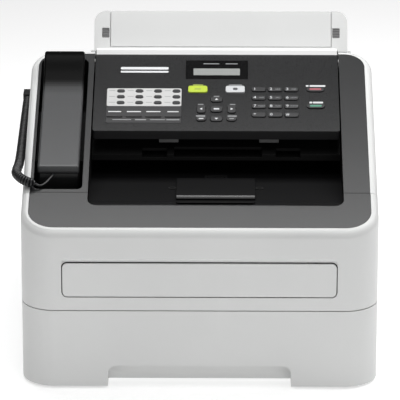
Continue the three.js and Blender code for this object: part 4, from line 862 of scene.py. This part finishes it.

# %% [markdown]
# ## Small things in the tray and on the document support
#
# The output tray has a finger slot in front of the flap and a round hole for each of the flap's
# arms; black sheets lying in the slot and in each hole paint their shade. The flap's front edge is a
# roll, and a thin sleeve of a lighter colour round it paints its highlight. The document support has
# a ribbed pad in each finger notch, beside the extension that slides out; the pad's grey paints the
# notch's shade.

# %% Finger slot and flap holes: black sheets that paint their shade
MIDDLE = (PANEL_LEFT + PANEL_RIGHT) / 2
on_ramp = laid((0, -137.0 * MM, 186.4 * MM), (0, 27, -4.4))
# Black sheets on the tray floor paint the shade of the finger slot.
for name, w, high, body in (("finger_slot_shade_rear", 24.8, 5.9, "base"),
                            ("finger_slot_shade_front", 17.45, 7.5, "front_cover")):
    slot = plate(name, [rounded_outline(MIDDLE, w, 80, high, 0.5)], 0.05, 0.35, on_ramp,
                 painted_shade_black)
    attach(slot, body)
on_floor = laid((0, -110.0 * MM, 182.0 * MM), (0, 1, -0.088))
ring_grey = moulded("ring grey", (0.016, 0.016, 0.016), 0.5, specular=0.2)
HOLE_X, HOLE_W = 45.6, 49.0
for name, x in (("flap_hole_left", MIDDLE - HOLE_X), ("flap_hole_right", MIDDLE + HOLE_X)):
    ring = plate(name, [circle(x, HOLE_W, 4.4, 24), circle(x, HOLE_W, 3.0, 24)], 0.05, 0.7,
                 on_floor, ring_grey)
    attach(ring, "base")
    # A black disc in each ring paints the shade of the hole.
    dark = plate(name + "_shade", [circle(x, HOLE_W, 2.95, 24)], 0.05, 0.6, on_floor, painted_shade_black)
    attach(dark, "base")
print("slot and holes about x =", round(MIDDLE, 2))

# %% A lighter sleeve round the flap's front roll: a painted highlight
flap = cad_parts["output_flap"].data.vertices
roll_front = min(v.co.y for v in flap) / MM
front_points = [v.co for v in flap if v.co.y < (roll_front + 0.2) * MM]
roll_z = max(p.z for p in front_points) / MM
edge_x = [p.x / MM for p in front_points]
ROLL = 2.0
SLEEVE_INSIDE, SLEEVE_OUTSIDE = ROLL + 0.05, ROLL + 0.45
# A lighter grey than the flap's black: a painted highlight on the roll.
flap_painted_highlight = moulded("flap highlight paint", (0.085, 0.085, 0.085), 0.3, grain=0.02)
sleeve = []
for radius, turns in ((SLEEVE_OUTSIDE, range(195, 55, -14)), (SLEEVE_INSIDE, range(55, 200, 14))):
    for turn in turns:
        a = math.radians(turn)
        sleeve.append((roll_front + ROLL + radius * math.cos(a), roll_z + radius * math.sin(a)))
edge = drawn_along_x("flap_edge_highlight", sleeve, min(edge_x) + 0.5, max(edge_x) - 0.5,
                     Matrix.Identity(4), flap_painted_highlight)
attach(edge, "output_flap")
print("roll at", round(roll_front, 2), round(roll_z, 2))

# %% Pads in the support's finger notches, whose grey paints the notches' shade
LEAN = math.radians(32.7)
on_support = laid((0, 138.0 * MM, 270.0 * MM), (0, math.sin(LEAN), math.cos(LEAN)))
low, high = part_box("document_support")
SUPPORT_MIDDLE = (low[0] + high[0]) / 2 / MM
low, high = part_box("support_extension")
EXTENSION_HALF = (high[0] - low[0]) / 2 / MM
# The pads' grey on the white support is painted shade of the notches.
pad_shade_grey = moulded("pad painted shade grey", (0.14, 0.14, 0.14), 0.5)
PAD_LOW, PAD_HIGH, PAD_HALF = 9.8, 20.2, 3.8
RIBS, RIB_PITCH = 6, 1.8
ribs = [(PAD_LOW, 1.02), (PAD_HIGH, 1.02), (PAD_HIGH, 1.6)]
for k in range(RIBS):
    w = PAD_HIGH - k * RIB_PITCH
    ribs += [(w - 0.5, 2.1), (w - 1.1, 2.1), (w - 1.3, 1.6)]
ribs = ribs[:-1] + [(PAD_LOW, 1.6)]
for name, side in (("notch_pad_left", -1), ("notch_pad_right", 1)):
    x = SUPPORT_MIDDLE + side * (EXTENSION_HALF + 5.5)
    pad = drawn_along_x(name, ribs, x - PAD_HALF, x + PAD_HALF, on_support, pad_shade_grey)
    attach(pad, "document_support")
print("pads with", RIBS, "ribs each")

# %% [markdown]
# ## Grilles of the handset
#
# They are seen when the handset is lifted: a ring of small holes over the mouthpiece and one over
# the earpiece, each a thin disc with real holes in it.

# %% Two grilles
GRILLE_RADIUS, HOLE_RADIUS = 9.0, 0.9


def grille(name, y, z, direction):
    """A disc with two rings of holes about one in the middle, laid on the inner half."""
    place = laid((HANDSET_MIDDLE * MM, y * MM, z * MM), direction)
    discs = [circle(0, 0, GRILLE_RADIUS, 32), circle(0, 0, HOLE_RADIUS, 8)]
    for ring, number in ((3.2, 6), (6.2, 12)):
        for k in range(number):
            a = 2 * math.pi * k / number
            discs.append(circle(ring * math.cos(a), ring * math.sin(a), HOLE_RADIUS, 8))
    piece = plate(name, discs, -0.5, 0.1, place, tray_black)
    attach(piece, "handset")
    print(name, "with", len(discs) - 1, "holes")


grille("mouthpiece_grille", -66.2, 179.45, (0, 18, 7))
grille("earpiece_grille", 74.5, 231.3, (0, 43.4, 6.9))

# %% [markdown]
# ## Floor and light
#
# The machine stands on a pale table in a bright room. Three soft lamps light it. A strip hangs high
# over the back, and the edge of its mirror image makes the slope fade from grey at the front to
# charcoal at the back. A weaker lamp hangs in front of it, and a fill stands far out in front and
# lights the front wall.

# %% Table, sky and lamps
FLOOR_HALF = 12.0
GLOW = 0.5
SKY = 0.16


def pale_floor():
    """A wide pale table top that glows a little, so that it stays white in the distance."""
    mesh = bmesh.new()
    bmesh.ops.create_grid(mesh, x_segments=1, y_segments=1, size=FLOOR_HALF)
    material = bpy.data.materials.new("pale floor")
    tree, shader = nodes_of(material)
    shader.inputs["Base Color"].default_value = (0.85, 0.85, 0.85, 1.0)
    shader.inputs["Roughness"].default_value = 0.9
    shader.inputs["Emission Color"].default_value = (1.0, 1.0, 1.0, 1.0)
    shader.inputs["Emission Strength"].default_value = GLOW
    return finished("floor", mesh, material, smooth=False)


def soft_lamp(name, place, lean, turn, width, height, power):
    """A soft lamp that looks down, then leans by some degrees to the back and turns."""
    data = bpy.data.lights.new(name, "AREA")
    data.shape = "RECTANGLE"
    data.size, data.size_y, data.energy = width, height, power
    lamp = bpy.data.objects.new(name, data)
    lamp.location = place
    lamp.rotation_euler = (math.radians(lean), 0.0, math.radians(turn))
    bpy.context.scene.collection.objects.link(lamp)
    print(name, "gives", power, "W")


pale_floor()
soft_lamp("strip behind", (0.35, 0.215, 1.15), -12, 0, 1.8, 0.5, 14.5)
soft_lamp("overhead", (0.1, -0.55, 1.35), 20, 0, 1.4, 0.7, 5.4)
soft_lamp("front fill", (0.5, -2.2, 1.0), 68, 13, 1.6, 1.4, 6.2)
world = bpy.data.worlds.new("studio")
world.use_nodes = True
background = world.node_tree.nodes["Background"]
background.inputs["Color"].default_value = (1.0, 1.0, 1.0, 1.0)
background.inputs["Strength"].default_value = SKY
bpy.context.scene.world = world
bpy.context.scene.view_settings.view_transform = "Standard"
